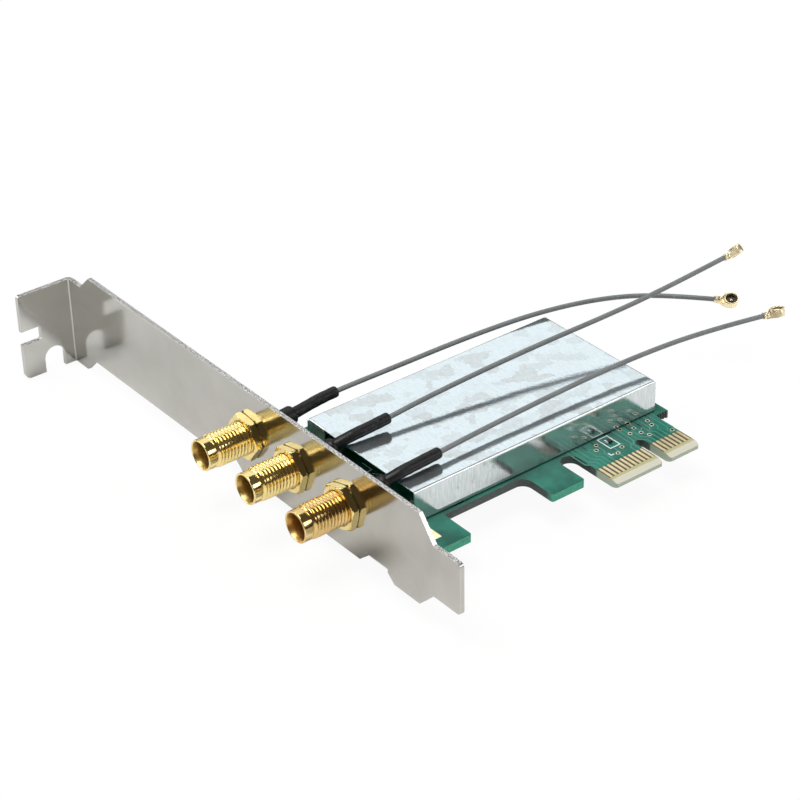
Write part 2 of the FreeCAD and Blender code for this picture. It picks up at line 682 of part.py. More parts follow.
def lead_plug():
    """Stamped shell of a press-on plug at its own origin: ring, folded plate and crimp."""
    floor, half = -plug_crimp_r, plug_plate_w / 2
    ring_at = Vec(plug_ring_along, 0, floor)
    ring = Part.makeCylinder(plug_ring_r, plug_ring_h, ring_at)
    plate = block(plug_plate_start, plug_ring_along, -half, half, floor, floor + plug_plate_t)
    cheeks = [block(plug_plate_start, plug_ring_along - plug_ring_r / 2, y, y + plug_plate_t, floor,
                    floor + plug_cheek_h) for y in (-half, half - plug_plate_t)]
    crimp = Part.makeCylinder(plug_crimp_r, plug_crimp_len, Vec(0, 0, 0), X)
    neck = block(plug_crimp_len - plug_plate_t, plug_plate_start + plug_plate_t, -plug_neck_w / 2,
                 plug_neck_w / 2, floor, floor + plug_plate_t)
    shell = ring.fuse([plate, neck] + cheeks)
    shell = shell.cut(Part.makeCylinder(plug_ring_r - plug_wall, plug_ring_h, ring_at + Z * plug_plate_t))
    return shell.fuse(crimp).removeSplitter()


def plug_insulator():
    """Dark moulding inside the plug's ring."""
    base = Vec(plug_ring_along, 0, -plug_crimp_r + plug_plate_t)
    outer = Part.makeCylinder(plug_ring_r - plug_wall, plug_core_foot_h, base)
    post = Part.makeCylinder(plug_core_r, plug_core_h, base)
    return outer.fuse(post).cut(Part.makeCylinder(plug_contact_r, plug_ring_h, base))


def plug_contact():
    """Centre contact of the plug, standing in its insulator."""
    base = Vec(plug_ring_along, 0, -plug_crimp_r + plug_plate_t)
    return Part.makeCylinder(plug_contact_r, plug_contact_h, base)


def save(name, shapes):
    """Move one node's solids into the card's frame, check them and write the node's file."""
    solids = []
    for shape in shapes if isinstance(shapes, list) else [shapes]:
        solids.extend(shape.Solids)
    for solid in solids:
        if not solid.isValid() or solid.Volume <= 0:
            raise ValueError("bad solid in " + name)
    whole = solids[0] if len(solids) == 1 else Part.makeCompound(solids)
    whole = whole.copy()
    whole.translate(body_mid)
    whole.exportStep("parts/%s.step" % name)
    print("%-20s %3d solid(s) %10.2f mm3" % (name, len(solids), whole.Volume))


def main():
    """Build every node of the card and write its STEP file."""
    os.makedirs("parts", exist_ok=True)
    save("bracket", bracket())
    save("bracket_rivets", bracket_rivets())
    save("circuit_board", circuit_board())
    save("mounting_pads", mounting_pads())
    save("edge_contacts", edge_contacts())
    save("shield_cover", shield_cover())
    save("mini_card_socket", mini_card_socket())
    save("socket_contacts", socket_contacts())
    save("module_standoffs", module_standoffs())
    save("voltage_regulator", voltage_regulator())
    save("ceramic_capacitors", [chip(x, y, capacitor_size) for x, y in capacitors])
    save("chip_resistors", [chip(x, y, resistor_size) for x, y in resistors])
    save("jack_nuts", [jack_nut(x, turn) for x, turn in zip(jack_xs, nut_turns)])
    rows = zip(jack_xs, routes, plug_faces, sleeve_shoulders_y, sleeve_ends_y)
    for n, (x, route, face, shoulder_y, end_y) in enumerate(rows, start=1):
        path, radii = pipe_path(route)
        lead = pipe(path, lead_d / 2)
        print("lead %d: length %.1f, section x length %.2f, volume %.2f, radii %s" % (
            n, path.Length, math.pi * lead_d ** 2 / 4 * path.Length, lead.Volume,
            ", ".join("%.1f" % r for r in radii)))
        save("antenna_jack_%d" % n, antenna_jack(x))
        save("jack_insulator_%d" % n, jack_insulator(x))
        save("jack_centre_pin_%d" % n, jack_centre_pin(x))
        save("crimp_ferrule_%d" % n, crimp_ferrule(x))
        save("heat_shrink_%d" % n, heat_shrink(x, route, shoulder_y, end_y, lead))
        save("antenna_lead_%d" % n, lead)
        place = plug_frame(route, face)
        for name, piece in (("lead_plug", lead_plug()), ("plug_insulator", plug_insulator()),
                            ("plug_contact", plug_contact())):
            piece.Placement = place
            save("%s_%d" % (name, n), piece)


main()
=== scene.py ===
"""Looks of a wireless expansion card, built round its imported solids.

The card's own solids stay as they are. This script gives every piece its finish,
puts finer pieces in place of the turned, stamped and flexible ones, adds the
printed and plated marks of the board, and sets the camera, the lights and the floor.

Sizes in the size classes are millimetres in the bracket's frame: X runs along the
bracket from its screw tab, Y into the case, Z up. Function placed() turns such
points into metres in the card's frame.
"""
import logging
import math
from dataclasses import dataclass
from enum import Enum
from typing import Sequence

import bmesh
import bpy
import numpy as np
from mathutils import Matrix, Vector


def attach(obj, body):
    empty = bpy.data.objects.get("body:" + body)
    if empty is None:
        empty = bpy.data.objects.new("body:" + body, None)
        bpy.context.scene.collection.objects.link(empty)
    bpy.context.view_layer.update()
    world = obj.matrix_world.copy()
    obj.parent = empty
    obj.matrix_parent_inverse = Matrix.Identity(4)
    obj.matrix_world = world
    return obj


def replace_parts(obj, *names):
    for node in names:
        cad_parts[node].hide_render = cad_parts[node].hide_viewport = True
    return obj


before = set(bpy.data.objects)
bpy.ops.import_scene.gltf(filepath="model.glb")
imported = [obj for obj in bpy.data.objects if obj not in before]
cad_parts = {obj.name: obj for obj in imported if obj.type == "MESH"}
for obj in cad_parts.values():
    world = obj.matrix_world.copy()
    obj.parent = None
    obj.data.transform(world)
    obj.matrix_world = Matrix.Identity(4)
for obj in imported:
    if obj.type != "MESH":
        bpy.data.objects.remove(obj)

LOG = logging.getLogger("card")
MM = 0.001
WELD = 1e-8
CARD_SHIFT = np.array((-60.01, -28.635, 3.18))
EDGE_FADE = (0.995, 0.80)
EDGE_SAMPLES = 4
Colour = tuple[float, float, float]
Point = tuple[float, float, float]
Fade = tuple[float, float]
Socket = bpy.types.NodeSocket
Value = Socket | float


def placed(points: Sequence) -> np.ndarray:
    """Turns points of the bracket's frame, in millimetres, into metres of the card's frame."""
    return (np.asarray(points, dtype=float) + CARD_SHIFT) * MM


def linked(name: str, data: bpy.types.ID) -> bpy.types.Object:
    """Makes an object of some data and adds it to the scene.

    Args:
        name: the object's name.
        data: its mesh, curve, light or camera.

    Returns:
        The new object.
    """
    made = bpy.data.objects.new(name, data)
    bpy.context.scene.collection.objects.link(made)
    return made


def turned(profile: np.ndarray, sides: int, x: float, y: float) -> np.ndarray:
    """Works out a form turned round an upright axis, P(t, a) = (x + r cos a, y + r sin a, z).

    Args:
        profile: array of (z, r) rows.
        sides: number of steps round the axis.
        x: the axis's place along X.
        y: its place along Y.

    Returns:
        Grid of points, open at both ends of the profile.
    """
    angles = np.linspace(0.0, 2 * math.pi, sides, endpoint=False)
    return np.stack([x + profile[:, 1:2] * np.cos(angles), y + profile[:, 1:2] * np.sin(angles),
                     np.repeat(profile[:, :1], sides, axis=1)], axis=-1)


class Shape:
    """Vertices, faces and material numbers gathered for one mesh."""

    def __init__(self) -> None:
        """Starts an empty shape."""
        self.points: list[np.ndarray] = []
        self.faces: list[tuple[int, ...]] = []
        self.finish_ids: list[int] = []
        self.count = 0

    def add(self, points: np.ndarray, faces: Sequence[tuple[int, ...]], finish_id: int = 0) -> None:
        """Adds loose points and the faces between them.

        Args:
            points: array of points in metres.
            faces: corner numbers of each face, counted from the first of these points.
            finish_id: which of the mesh's materials the faces take.
        """
        self.points.append(np.asarray(points, dtype=float).reshape(-1, 3))
        self.faces.extend(tuple(self.count + k for k in face) for face in faces)
        self.finish_ids.extend([finish_id] * len(faces))
        self.count += len(self.points[-1])

    def grid(self, points: np.ndarray, wrap_u: bool = False, wrap_v: bool = False, finish_id: int = 0,
             caps: bool = False) -> None:
        """Adds a surface from a grid of its points.

        Args:
            points: array [u, v, 3] in metres.
            wrap_u: the last row joins the first one.
            wrap_v: the last column joins the first one.
            finish_id: which of the mesh's materials the faces take.
            caps: closes the first and the last row with a face each.
        """
        rows, columns = points.shape[:2]
        u = np.arange(rows if wrap_u else rows - 1)[:, None]
        v = np.arange(columns if wrap_v else columns - 1)
        un, vn = (u + 1) % rows, (v + 1) % columns
        corners = np.stack([u * columns + v, un * columns + v, un * columns + vn, u * columns + vn], axis=-1)
        faces = corners.reshape(-1, 4).tolist()
        if caps:
            faces.append(tuple(range(columns)))
            faces.append(tuple((rows - 1) * columns + v for v in range(columns)))
        self.add(points, faces, finish_id)

    def build(self, name: str, finishes: Sequence[bpy.types.Material], slot: str,
              sharp_deg: float = 32.0) -> bpy.types.Object:
        """Makes the mesh object, faces outward, and lets it ride on the card.

        Args:
            name: the piece's name.
            finishes: its materials, in the order of the material numbers.
            slot: not used.
            sharp_deg: edges that turn by more than this stay sharp.

        Returns:
            The new object.
        """
        mesh = bpy.data.meshes.new(name)
        mesh.from_pydata(np.concatenate(self.points).tolist(), [], self.faces)
        for finish in finishes:
            mesh.materials.append(finish)
        mesh.polygons.foreach_set("material_index", self.finish_ids)
        mesh.polygons.foreach_set("use_smooth", [True] * len(self.faces))
        tool = bmesh.new()
        tool.from_mesh(mesh)
        bmesh.ops.remove_doubles(tool, verts=tool.verts, dist=WELD)
        bmesh.ops.recalc_face_normals(tool, faces=tool.faces)
        tool.to_mesh(mesh)
        tool.free()
        mesh.set_sharp_from_angle(angle=math.radians(sharp_deg))
        piece = linked(name, mesh)
        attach(piece, "root")
        return piece


@dataclass(frozen=True)
class Layer:
    """One layer of noise; with a fade it becomes marks of a share's strength."""

    size_mm: float
    detail: float = 3.0
    rough: float = 0.5
    fade: Fade | None = None
    share: float = 1.0
    stretch: Point = (1.0, 1.0, 1.0)
    warp: float = 0.0


class Graph:
    """One material's node tree, with short calls for the nodes used here."""

    def __init__(self, name: str) -> None:
        """Starts a material with an output node and object coordinates in millimetres.

        Args:
            name: the material's name.
        """
        self.material = bpy.data.materials.new(name)
        self.material.use_nodes = True
        self.tree = self.material.node_tree
        self.tree.nodes.clear()
        self.output = self.tree.nodes.new("ShaderNodeOutputMaterial")
        texture = self.tree.nodes.new("ShaderNodeTexCoord")
        self.place = self.vector("SCALE", texture.outputs["Object"], scale=1.0 / MM)

    def node(self, kind: str, inputs: dict | None = None, **settings) -> bpy.types.Node:
        """Adds a node.

        Args:
            kind: the node's type name.
            inputs: socket name or number to a constant or an output socket.
            settings: the node's own properties.

        Returns:
            The node.
        """
        made = self.tree.nodes.new(kind)
        for key, value in settings.items():
            setattr(made, key, value)
        for key, value in (inputs or {}).items():
            if isinstance(value, Socket):
                self.tree.links.new(value, made.inputs[key])
            else:
                made.inputs[key].default_value = value
        return made

    def vector(self, operation: str, a: Socket, b: Socket | Point | None = None,
               scale: float | None = None) -> Socket:
        """Adds vector arithmetic.

        Args:
            operation: the arithmetic's name.
            a: its first vector.
            b: its second vector, if it has one.
            scale: its number, if it has one.

        Returns:
            The result's socket.
        """
        given = {key: value for key, value in ((0, a), (1, b), ("Scale", scale)) if value is not None}
        made = self.node("ShaderNodeVectorMath", given, operation=operation)
        return made.outputs["Value" if operation == "DOT_PRODUCT" else "Vector"]

    def maths(self, operation: str, a: Value, b: Value = 0.5) -> Socket:
        """Adds scalar arithmetic and returns its result socket."""
        return self.node("ShaderNodeMath", {0: a, 1: b}, operation=operation).outputs[0]

    def layer(self, layer: Layer) -> Socket:
        """Adds noise whose blobs are about size_mm wide, longer along each axis by its stretch.

        Args:
            layer: the noise's sizes, and the fade and share of its marks.

        Returns:
            The socket of its value, from 0 to 1, or of the marks' strength.
        """
        at = self.vector("MULTIPLY", self.place, tuple(1.0 / (layer.size_mm * s) for s in layer.stretch))
        made = self.node("ShaderNodeTexNoise", {"Vector": at, "Scale": 1.0, "Detail": layer.detail,
                                                "Roughness": layer.rough, "Distortion": layer.warp})
        value = made.outputs["Fac"]
        return self.marks(value, layer.fade, layer.share) if layer.fade else value

    def marks(self, value: Socket, fade: Fade, share: float = 1.0) -> Socket:
        """Maps low..high of a value to 0..share, clamped, and returns the socket."""
        made = self.node("ShaderNodeMapRange", {"Value": value, "From Min": fade[0], "From Max": fade[1]})
        return self.scaled(made.outputs[0], share)

    def scaled(self, value: Socket, share: float) -> Socket:
        """Multiplies a value by a share, unless that is one, and returns the socket."""
        return value if share == 1.0 else self.maths("MULTIPLY", value, share)

    def blended(self, a: Socket, b: Socket, share: float) -> Socket:
        """Adds a share of one value to the rest of another and returns the socket."""
        return self.maths("ADD", self.scaled(a, share), self.scaled(b, 1.0 - share))

    def upright(self, fade: Fade) -> Socket:
        """Marks faces that look up or down and returns the socket."""
        parts = self.node("ShaderNodeSeparateXYZ", {0: self.node("ShaderNodeNewGeometry").outputs["True Normal"]})
        return self.marks(self.maths("ABSOLUTE", parts.outputs["Z"]), fade)

    def along(self, axis: str) -> Socket:
        """Gives the place along one axis, in millimetres, as a socket."""
        return self.node("ShaderNodeSeparateXYZ", {0: self.place}).outputs[axis]

    def ramp(self, value: Socket, stops: Sequence[tuple[float, Colour]]) -> Socket:
        """Adds a colour ramp.

        Args:
            value: place on the ramp, from 0 to 1.
            stops: place and colour of each stop.

        Returns:
            The colour's socket.
        """
        made = self.node("ShaderNodeValToRGB", {"Fac": value})
        ramp = made.color_ramp
        while len(ramp.elements) < len(stops):
            ramp.elements.new(0.5)
        for element, (at, colour) in zip(ramp.elements, stops):
            element.position = at
            element.color = (*colour, 1.0)
        return made.outputs["Color"]

    def mix(self, share: Value, a: Socket | Colour, b: Socket | Colour) -> Socket:
        """Adds a colour mix from a to b by a share and returns its colour socket."""
        opaque = [v if isinstance(v, Socket) else (*v, 1.0) for v in (a, b)]
        return self.node("ShaderNodeMix", {0: share, 6: opaque[0], 7: opaque[1]}, data_type="RGBA").outputs[2]

    def span(self, value: Socket, low: float, high: float) -> Socket:
        """Maps 0..1 of a value to low..high and returns the socket."""
        return self.node("ShaderNodeMapRange", {"Value": value, "To Min": low, "To Max": high}).outputs[0]

    def edges(self, radius_mm: float) -> tuple[Socket, Socket]:
        """Finds the piece's sharp edges.

        Args:
            radius_mm: how far from an edge the mark reaches.

        Returns:
            The socket of a value that is 1 at an edge, and the rounded normal's socket.
        """
        soft = self.node("ShaderNodeBevel", {"Radius": radius_mm * MM}, samples=EDGE_SAMPLES)
        flat = self.node("ShaderNodeNewGeometry")
        turn = self.vector("DOT_PRODUCT", soft.outputs["Normal"], flat.outputs["Normal"])
        return self.marks(turn, EDGE_FADE), soft.outputs["Normal"]

    def bump(self, height: Socket, depth_mm: float, strength: float = 1.0, normal: Socket | None = None) -> Socket:
        """Adds a bump.

        Args:
            height: height of the skin, from 0 to 1.
            depth_mm: how deep a height of 1 stands.
            strength: share of the bump that shows.
            normal: the normal below it, if it isn't the face's own.

        Returns:
            The new normal's socket.
        """
        inputs = {"Height": height, "Distance": depth_mm * MM, "Strength": strength}
        if normal is not None:
            inputs["Normal"] = normal
        return self.node("ShaderNodeBump", inputs).outputs["Normal"]

    def finish(self, **inputs) -> bpy.types.Material:
        """Adds the surface shader and closes the material.

        Args:
            inputs: the shader's inputs, spaces written as underscores.

        Returns:
            The material.
        """
        values = {key.replace("_", " "): value for key, value in inputs.items()}
        surface = self.node("ShaderNodeBsdfPrincipled", values)
        self.tree.links.new(surface.outputs[0], self.output.inputs["Surface"])
        return self.material


@dataclass(frozen=True)
class MetalFinish:
    """Plain or plated metal with cloudy colour, fine grain and, with an edge width, worn edges."""

    name: str
    base: Colour
    shade: Colour
    worn: Colour
    rough: tuple[float, float]
    cloud_mm: float = 2.5
    grain_depth_mm: float = 0.002
    edge_mm: float = 0.08
    edge_share: float = 0.5
    cloud_layers: tuple[float, float] = (4.0, 0.55)
    cloud_fade: Fade = (0.38, 0.66)
    cloud_rough: float = 0.6
    grain: Layer = Layer(0.12, 2.0, 0.6)

    def material(self) -> bpy.types.Material:
        """Builds the material.

        Returns:
            The finished material.
        """
        graph = Graph(self.name)
        cloud = graph.layer(Layer(self.cloud_mm, *self.cloud_layers))
        grain = graph.layer(self.grain)
        colour = graph.mix(graph.marks(cloud, self.cloud_fade), self.base, self.shade)
        rounded = None
        if self.edge_mm > 0:
            edge, rounded = graph.edges(self.edge_mm)
            colour = graph.mix(graph.scaled(edge, self.edge_share), colour, self.worn)
        rough = graph.span(graph.blended(cloud, grain, self.cloud_rough), *self.rough)
        return graph.finish(Base_Color=colour, Metallic=1.0, Roughness=rough,
                            Normal=graph.bump(grain, self.grain_depth_mm, normal=rounded))


@dataclass(frozen=True)
class PlasticFinish:
    """Moulded plastic, ceramic or jacket with mottling, fine skin bump and pale edges."""

    name: str
    base: Colour
    shade: Colour
    worn: Colour
    rough: tuple[float, float]
    cloud_mm: float = 1.5
    skin_mm: float = 0.15
    skin_depth_mm: float = 0.006
    edge_share: float = 0.4
    shine: float = 0.5
    dust: float = 0.0
    edge_mm: float = 0.08
    cloud_layers: tuple[float, float] = (4.0, 0.55)
    cloud_fade: Fade = (0.36, 0.66)
    skin_layers: tuple[float, float] = (2.0, 0.6)
    dust_colour: Colour = (0.30, 0.30, 0.31)
    specks: Layer = Layer(0.34, 4.0, 0.8, (0.62, 0.67))

    def material(self) -> bpy.types.Material:
        """Builds the material.

        Returns:
            The finished material.
        """
        graph = Graph(self.name)
        cloud = graph.layer(Layer(self.cloud_mm, *self.cloud_layers, self.cloud_fade))
        skin = graph.layer(Layer(self.skin_mm, *self.skin_layers))
        edge, rounded = graph.edges(self.edge_mm)
        colour = graph.mix(cloud, self.base, self.shade)
        colour = graph.mix(graph.scaled(edge, self.edge_share), colour, self.worn)
        if self.dust > 0:
            colour = graph.mix(graph.scaled(graph.layer(self.specks), self.dust), colour, self.dust_colour)
        return graph.finish(Base_Color=colour, Roughness=graph.span(skin, *self.rough),
                            Specular_IOR_Level=self.shine,
                            Normal=graph.bump(skin, self.skin_depth_mm, normal=rounded))


@dataclass(frozen=True)
class BracketFinish:
    """Nickel-plated sheet: satin faces that mirror softly, and sheared, streaked edges."""

    name: str = "bracket_nickel"
    base: Colour = (0.50, 0.495, 0.465)
    shade: Colour = (0.45, 0.445, 0.415)
    fleck: Colour = (0.16, 0.14, 0.12)
    bright: Colour = (0.92, 0.91, 0.89)
    torn: Colour = (0.05, 0.05, 0.05)
    rough: tuple[float, float] = (0.08, 0.15)
    cloud: Layer = Layer(9.0, 5.0, 0.6, warp=0.4)
    cloud_fade: Fade = (0.36, 0.64)
    grain: Layer = Layer(0.10, 2.0, 0.6, stretch=(14.0, 1.0, 1.0))
    grain_depth_mm: float = 0.0016
    flecks: Layer = Layer(0.7, 6.0, 0.75, (0.70, 0.76), 0.5)
    tears: Layer = Layer(0.17, 4.0, 0.75, (0.42, 0.56), stretch=(2.4, 1.0, 1.0))
    tear_height: float = 6.0
    sheared_fade: Fade = (0.55, 0.75)
    sheared_rough: float = 0.18
    edge_mm: float = 0.12
    edge_share: float = 0.75

    def material(self) -> bpy.types.Material:
        """Builds the material; faces that look up or down, the plate's rims, get the sheared look.

        Returns:
            The finished material.
        """
        graph = Graph(self.name)
        cloud, grain, tears = graph.layer(self.cloud), graph.layer(self.grain), graph.layer(self.tears)
        colour = graph.mix(graph.marks(cloud, self.cloud_fade), self.base, self.shade)
        colour = graph.mix(graph.layer(self.flecks), colour, self.fleck)
        edge, rounded = graph.edges(self.edge_mm)
        colour = graph.mix(graph.scaled(edge, self.edge_share), colour, self.bright)
        sheared = graph.upright(self.sheared_fade)
        colour = graph.mix(sheared, colour, graph.mix(tears, self.torn, self.bright))
        rough = graph.maths("ADD", graph.span(cloud, *self.rough), graph.scaled(sheared, self.sheared_rough))
        height = graph.maths("ADD", grain, graph.scaled(graph.maths("MULTIPLY", tears, sheared), self.tear_height))
        return graph.finish(Base_Color=colour, Metallic=1.0, Roughness=rough,
                            Normal=graph.bump(height, self.grain_depth_mm, normal=rounded))


@dataclass(frozen=True)
class ShieldFinish:
    """Zinc-coated sheet: crystal patches of light and grey, brushed along X, with painted shade at its foot where it
    meets the board.
    """

    name: str = "shield_zinc"
    light: Colour = (0.68, 0.77, 0.81)
    mid: Colour = (0.60, 0.66, 0.69)
    grey: Colour = (0.56, 0.595, 0.605)
    wall: Colour = (0.50, 0.56, 0.57)
    wall_light: Colour = (0.71, 0.755, 0.765)
    smudge: Colour = (0.26, 0.28, 0.27)
    scored: Colour = (0.42, 0.46, 0.48)
    bright: Colour = (0.97, 0.98, 1.0)
    # Foot colour: painted shade, a dark band along the walls' foot where they meet the board.
    foot: Colour = (0.02, 0.05, 0.04)
    bend_per_mm: float = 0.45
    bend_layers: tuple[float, float] = (4.0, 0.6)
    bend_mm: float = 3.4
    patch_mm: float = 2.7
    patch_run: float = 1.3
    patch_steps: tuple[float, ...] = (0.0, 0.56, 0.60, 0.78, 0.82, 1.0)
    frost: Layer = Layer(0.9, 5.0, 0.75, (0.42, 0.60), 0.45)
    roof_fade: Fade = (0.4, 0.8)
    roof_brush: Layer = Layer(0.22, 2.0, 0.7, stretch=(5.5, 1.0, 1.0))
    wall_brush: Layer = Layer(0.154, 3.0, 0.7, stretch=(1.0, 1.0, 44.0))
    brush_depth_mm: float = 0.010
    hatch_fade: Fade = (0.44, 0.72)
    hatch_share: float = 0.30
    scratches: Layer = Layer(0.34, 4.0, 0.8, (0.59, 0.66), 0.6, (4.0, 1.0, 1.0), 0.5)
    dots: Layer = Layer(0.28, 5.0, 0.8, (0.70, 0.74), 0.7)
    cloud: Layer = Layer(6.0, 4.0, 0.6)
    cloud_fade: Fade = (0.45, 0.70)
    cloud_share: float = 0.2
    streak: Layer = Layer(0.30, 4.0, 0.75, stretch=(1.0, 1.0, 9.0))
    streak_fade: Fade = (0.36, 0.62)
    streak_height: float = 0.4
    smudges: Layer = Layer(2.2, 4.0, 0.7, (0.60, 0.66), 0.55, warp=0.5)
    rough: tuple[float, float] = (0.03, 0.07)
    patch_rough: float = 0.6
    wall_rough: float = 0.015
    metal_share: float = 0.90
    waves: Layer = Layer(9.0, 2.0, 0.5)
    wave_depth_mm: float = 0.22
    wave_strength: float = 0.35
    peel: Layer = Layer(0.50, 3.0, 0.6)
    peel_depth_mm: float = 0.010
    foot_shade_fade_mm: Fade = (7.46, 7.256)
    edge_mm: float = 0.16
    edge_share: float = 0.8

    def patches(self, graph: Graph) -> Socket:
        """Adds the crystal patches: cells whose borders are bent by a soft noise.

        Args:
            graph: the material being built.

        Returns:
            The socket of a value that is even over each patch.
        """
        detail, rough = self.bend_layers
        bend = graph.node("ShaderNodeTexNoise", {"Vector": graph.place, "Scale": self.bend_per_mm,
                                                 "Detail": detail, "Roughness": rough})
        middle = graph.vector("SUBTRACT", bend.outputs["Color"], (0.5, 0.5, 0.5))
        bent = graph.vector("ADD", graph.place, graph.vector("SCALE", middle, scale=self.bend_mm))
        size = (self.patch_mm, self.patch_mm * self.patch_run, self.patch_mm)
        at = graph.vector("MULTIPLY", bent, tuple(1.0 / s for s in size))
        cells = graph.node("ShaderNodeTexVoronoi", {"Vector": at, "Scale": 1.0, "Randomness": 1.0})
        return graph.node("ShaderNodeSeparateColor", {0: cells.outputs["Color"]}).outputs[0]

    def material(self) -> bpy.types.Material:
        """Builds the material: patches and brushing on the roof, streaks and smudges on the walls.

        Returns:
            The finished material.
        """
        graph = Graph(self.name)
        patch = self.patches(graph)
        tones = (self.light, self.light, self.mid, self.mid, self.grey, self.grey)
        colour = graph.mix(graph.layer(self.frost), graph.ramp(patch, list(zip(self.patch_steps, tones))), self.light)
        roof = graph.upright(self.roof_fade)
        brush = graph.mix(roof, graph.layer(self.wall_brush), graph.layer(self.roof_brush))
        cloud, streak = graph.layer(self.cloud), graph.layer(self.streak)
        wall = graph.mix(graph.marks(streak, self.streak_fade), self.wall, self.wall_light)
        wall = graph.mix(graph.layer(self.smudges), wall, self.smudge)
        for mark, tone in ((graph.marks(brush, self.hatch_fade, self.hatch_share), self.scored),
                           (graph.layer(self.scratches), self.scored),
                           (graph.marks(cloud, self.cloud_fade, self.cloud_share), self.mid),
                           (graph.layer(self.dots), self.wall)):
            colour = graph.mix(mark, colour, tone)
        edge, rounded = graph.edges(self.edge_mm)
        colour = graph.mix(graph.scaled(edge, self.edge_share), graph.mix(roof, wall, colour), self.bright)
        # Painted shade: the walls turn to the foot colour in their lowest third of a millimetre above the board.
        colour = graph.mix(graph.marks(graph.along("Z"), self.foot_shade_fade_mm), colour, self.foot)
        rough = graph.span(graph.blended(patch, cloud, self.patch_rough), *self.rough)
        rough = graph.maths("ADD", rough, graph.scaled(graph.maths("SUBTRACT", 1.0, roof), self.wall_rough))
        soft = graph.bump(graph.layer(self.waves), self.wave_depth_mm, self.wave_strength, rounded)
        relief = graph.mix(roof, graph.scaled(streak, self.streak_height), graph.layer(self.peel))
        soft = graph.bump(relief, self.peel_depth_mm, normal=soft)
        return graph.finish(Base_Color=colour, Metallic=self.metal_share, Roughness=rough,
                            Normal=graph.bump(brush, self.brush_depth_mm, normal=soft))


@dataclass(frozen=True)
class BoardFinish:
    """Board: green mask on its faces up to the edge tongue, bare laminate beyond and on its sides."""

    name: str = "board_laminate"
    mask: Colour = (0.011, 0.178, 0.122)
    mask_deep: Colour = (0.005, 0.088, 0.063)
    bare: Colour = (0.42, 0.40, 0.20)
    gap: Colour = (0.060, 0.048, 0.022)
    side: Colour = (0.085, 0.43, 0.29)
    side_dark: Colour = (0.060, 0.33, 0.22)
    # Darker grey for the board's sides short of the foot ends along X, towards the shield wall.
    side_inner_dark: Colour = (0.085, 0.105, 0.100)
    side_pale: Colour = (0.46, 0.53, 0.47)
    bevel: Colour = (0.62, 0.60, 0.50)
    cloud: Layer = Layer(7.0, 4.0, 0.6, (0.40, 0.62))
    weave: Layer = Layer(0.35, 2.0, 0.5)
    specks: Layer = Layer(0.14, 5.0, 0.8, (0.44, 0.60))
    speck_share: float = 0.25
    mottle: Layer = Layer(0.5, 4.0, 0.7, (0.42, 0.60))
    flecks: Layer = Layer(0.11, 4.0, 0.8, (0.56, 0.64), 0.55, (1.6, 1.6, 1.0))
    flat_fade: Fade = (0.55, 0.85)
    mask_end_mm: Fade = (42.85, 42.95)
    tongue_y_mm: Fade = (16.55, 16.65)
    finger_end_mm: Fade = (46.27, 46.31)
    bevel_mm: Fade = (46.92, 47.12)
    foot_end_mm: Fade = (42.29, 43.59)
    tongue_side: float = 0.7
    edge_mm: float = 0.10
    edge_share: float = 0.35
    rough: float = 0.55
    mask_rough: float = 0.20
    shine: float = 0.14
    depth_mm: float = 0.004

    def material(self) -> bpy.types.Material:
        """Builds the material from the place on the board and the way each face looks.

        Returns:
            The finished material.
        """
        graph = Graph(self.name)
        x, y = graph.along("X"), graph.along("Y")
        flat, specks = graph.upright(self.flat_fade), graph.layer(self.specks)
        tongue = graph.maths("MULTIPLY", graph.marks(x, self.mask_end_mm), graph.marks(y, self.tongue_y_mm))
        bare = graph.mix(graph.marks(x, self.finger_end_mm), self.gap, self.bare)
        bare = graph.mix(graph.marks(x, self.bevel_mm), bare, self.bevel)
        bare = graph.mix(graph.scaled(specks, self.speck_share), bare, self.side_pale)
        top = graph.mix(tongue, graph.mix(graph.layer(self.cloud), self.mask, self.mask_deep), bare)
        side = graph.mix(graph.layer(self.mottle), self.side_dark, self.side)
        side = graph.mix(graph.marks(x, self.foot_end_mm), self.side_inner_dark, side)
        side = graph.mix(graph.layer(self.flecks), side, self.side_pale)
        side = graph.mix(graph.scaled(tongue, self.tongue_side), side, self.bevel)
        edge, rounded = graph.edges(self.edge_mm)
        colour = graph.mix(graph.scaled(edge, self.edge_share), graph.mix(flat, side, top), self.side_pale)
        glossy = graph.maths("MULTIPLY", flat, graph.maths("SUBTRACT", 1.0, tongue))
        height = graph.maths("ADD", graph.layer(self.weave),
                             graph.maths("MULTIPLY", specks, graph.maths("SUBTRACT", 1.0, flat)))
        return graph.finish(Base_Color=colour, Roughness=graph.span(glossy, self.rough, self.mask_rough),
                            Specular_IOR_Level=self.shine,
                            Normal=graph.bump(height, self.depth_mm, normal=rounded))


@dataclass(frozen=True)
class FloorFinish:
    """Plain pale floor: white to the camera with faint soft shadows, pale to reflections."""

    name: str = "pale_floor"
    colour: Colour = (0.90, 0.90, 0.90)
    dull: Colour = (0.80, 0.80, 0.80)
    speck: Layer = Layer(3.0, 3.0, 0.5)
    speck_share: float = 0.03
    rough: float = 0.5
    glow: Colour = (1.0, 1.0, 1.0)
    shadow_share: float = 0.06

    def material(self) -> bpy.types.Material:
        """Builds the material.

        Returns:
            The finished material.
        """
        graph = Graph(self.name)
        tint = graph.mix(graph.scaled(graph.layer(self.speck), self.speck_share), self.colour, self.dull)
        matte = graph.node("ShaderNodeBsdfDiffuse", {"Color": tint, "Roughness": self.rough}).outputs[0]
        glow = graph.node("ShaderNodeEmission", {"Color": (*self.glow, 1.0)}).outputs[0]
        seen = graph.node("ShaderNodeMixShader", {0: self.shadow_share, 1: glow, 2: matte}).outputs[0]
        to_camera = graph.node("ShaderNodeLightPath").outputs["Is Camera Ray"]
        both = graph.node("ShaderNodeMixShader", {0: to_camera, 1: matte, 2: seen})
        graph.tree.links.new(both.outputs[0], graph.output.inputs["Surface"])
        return graph.material


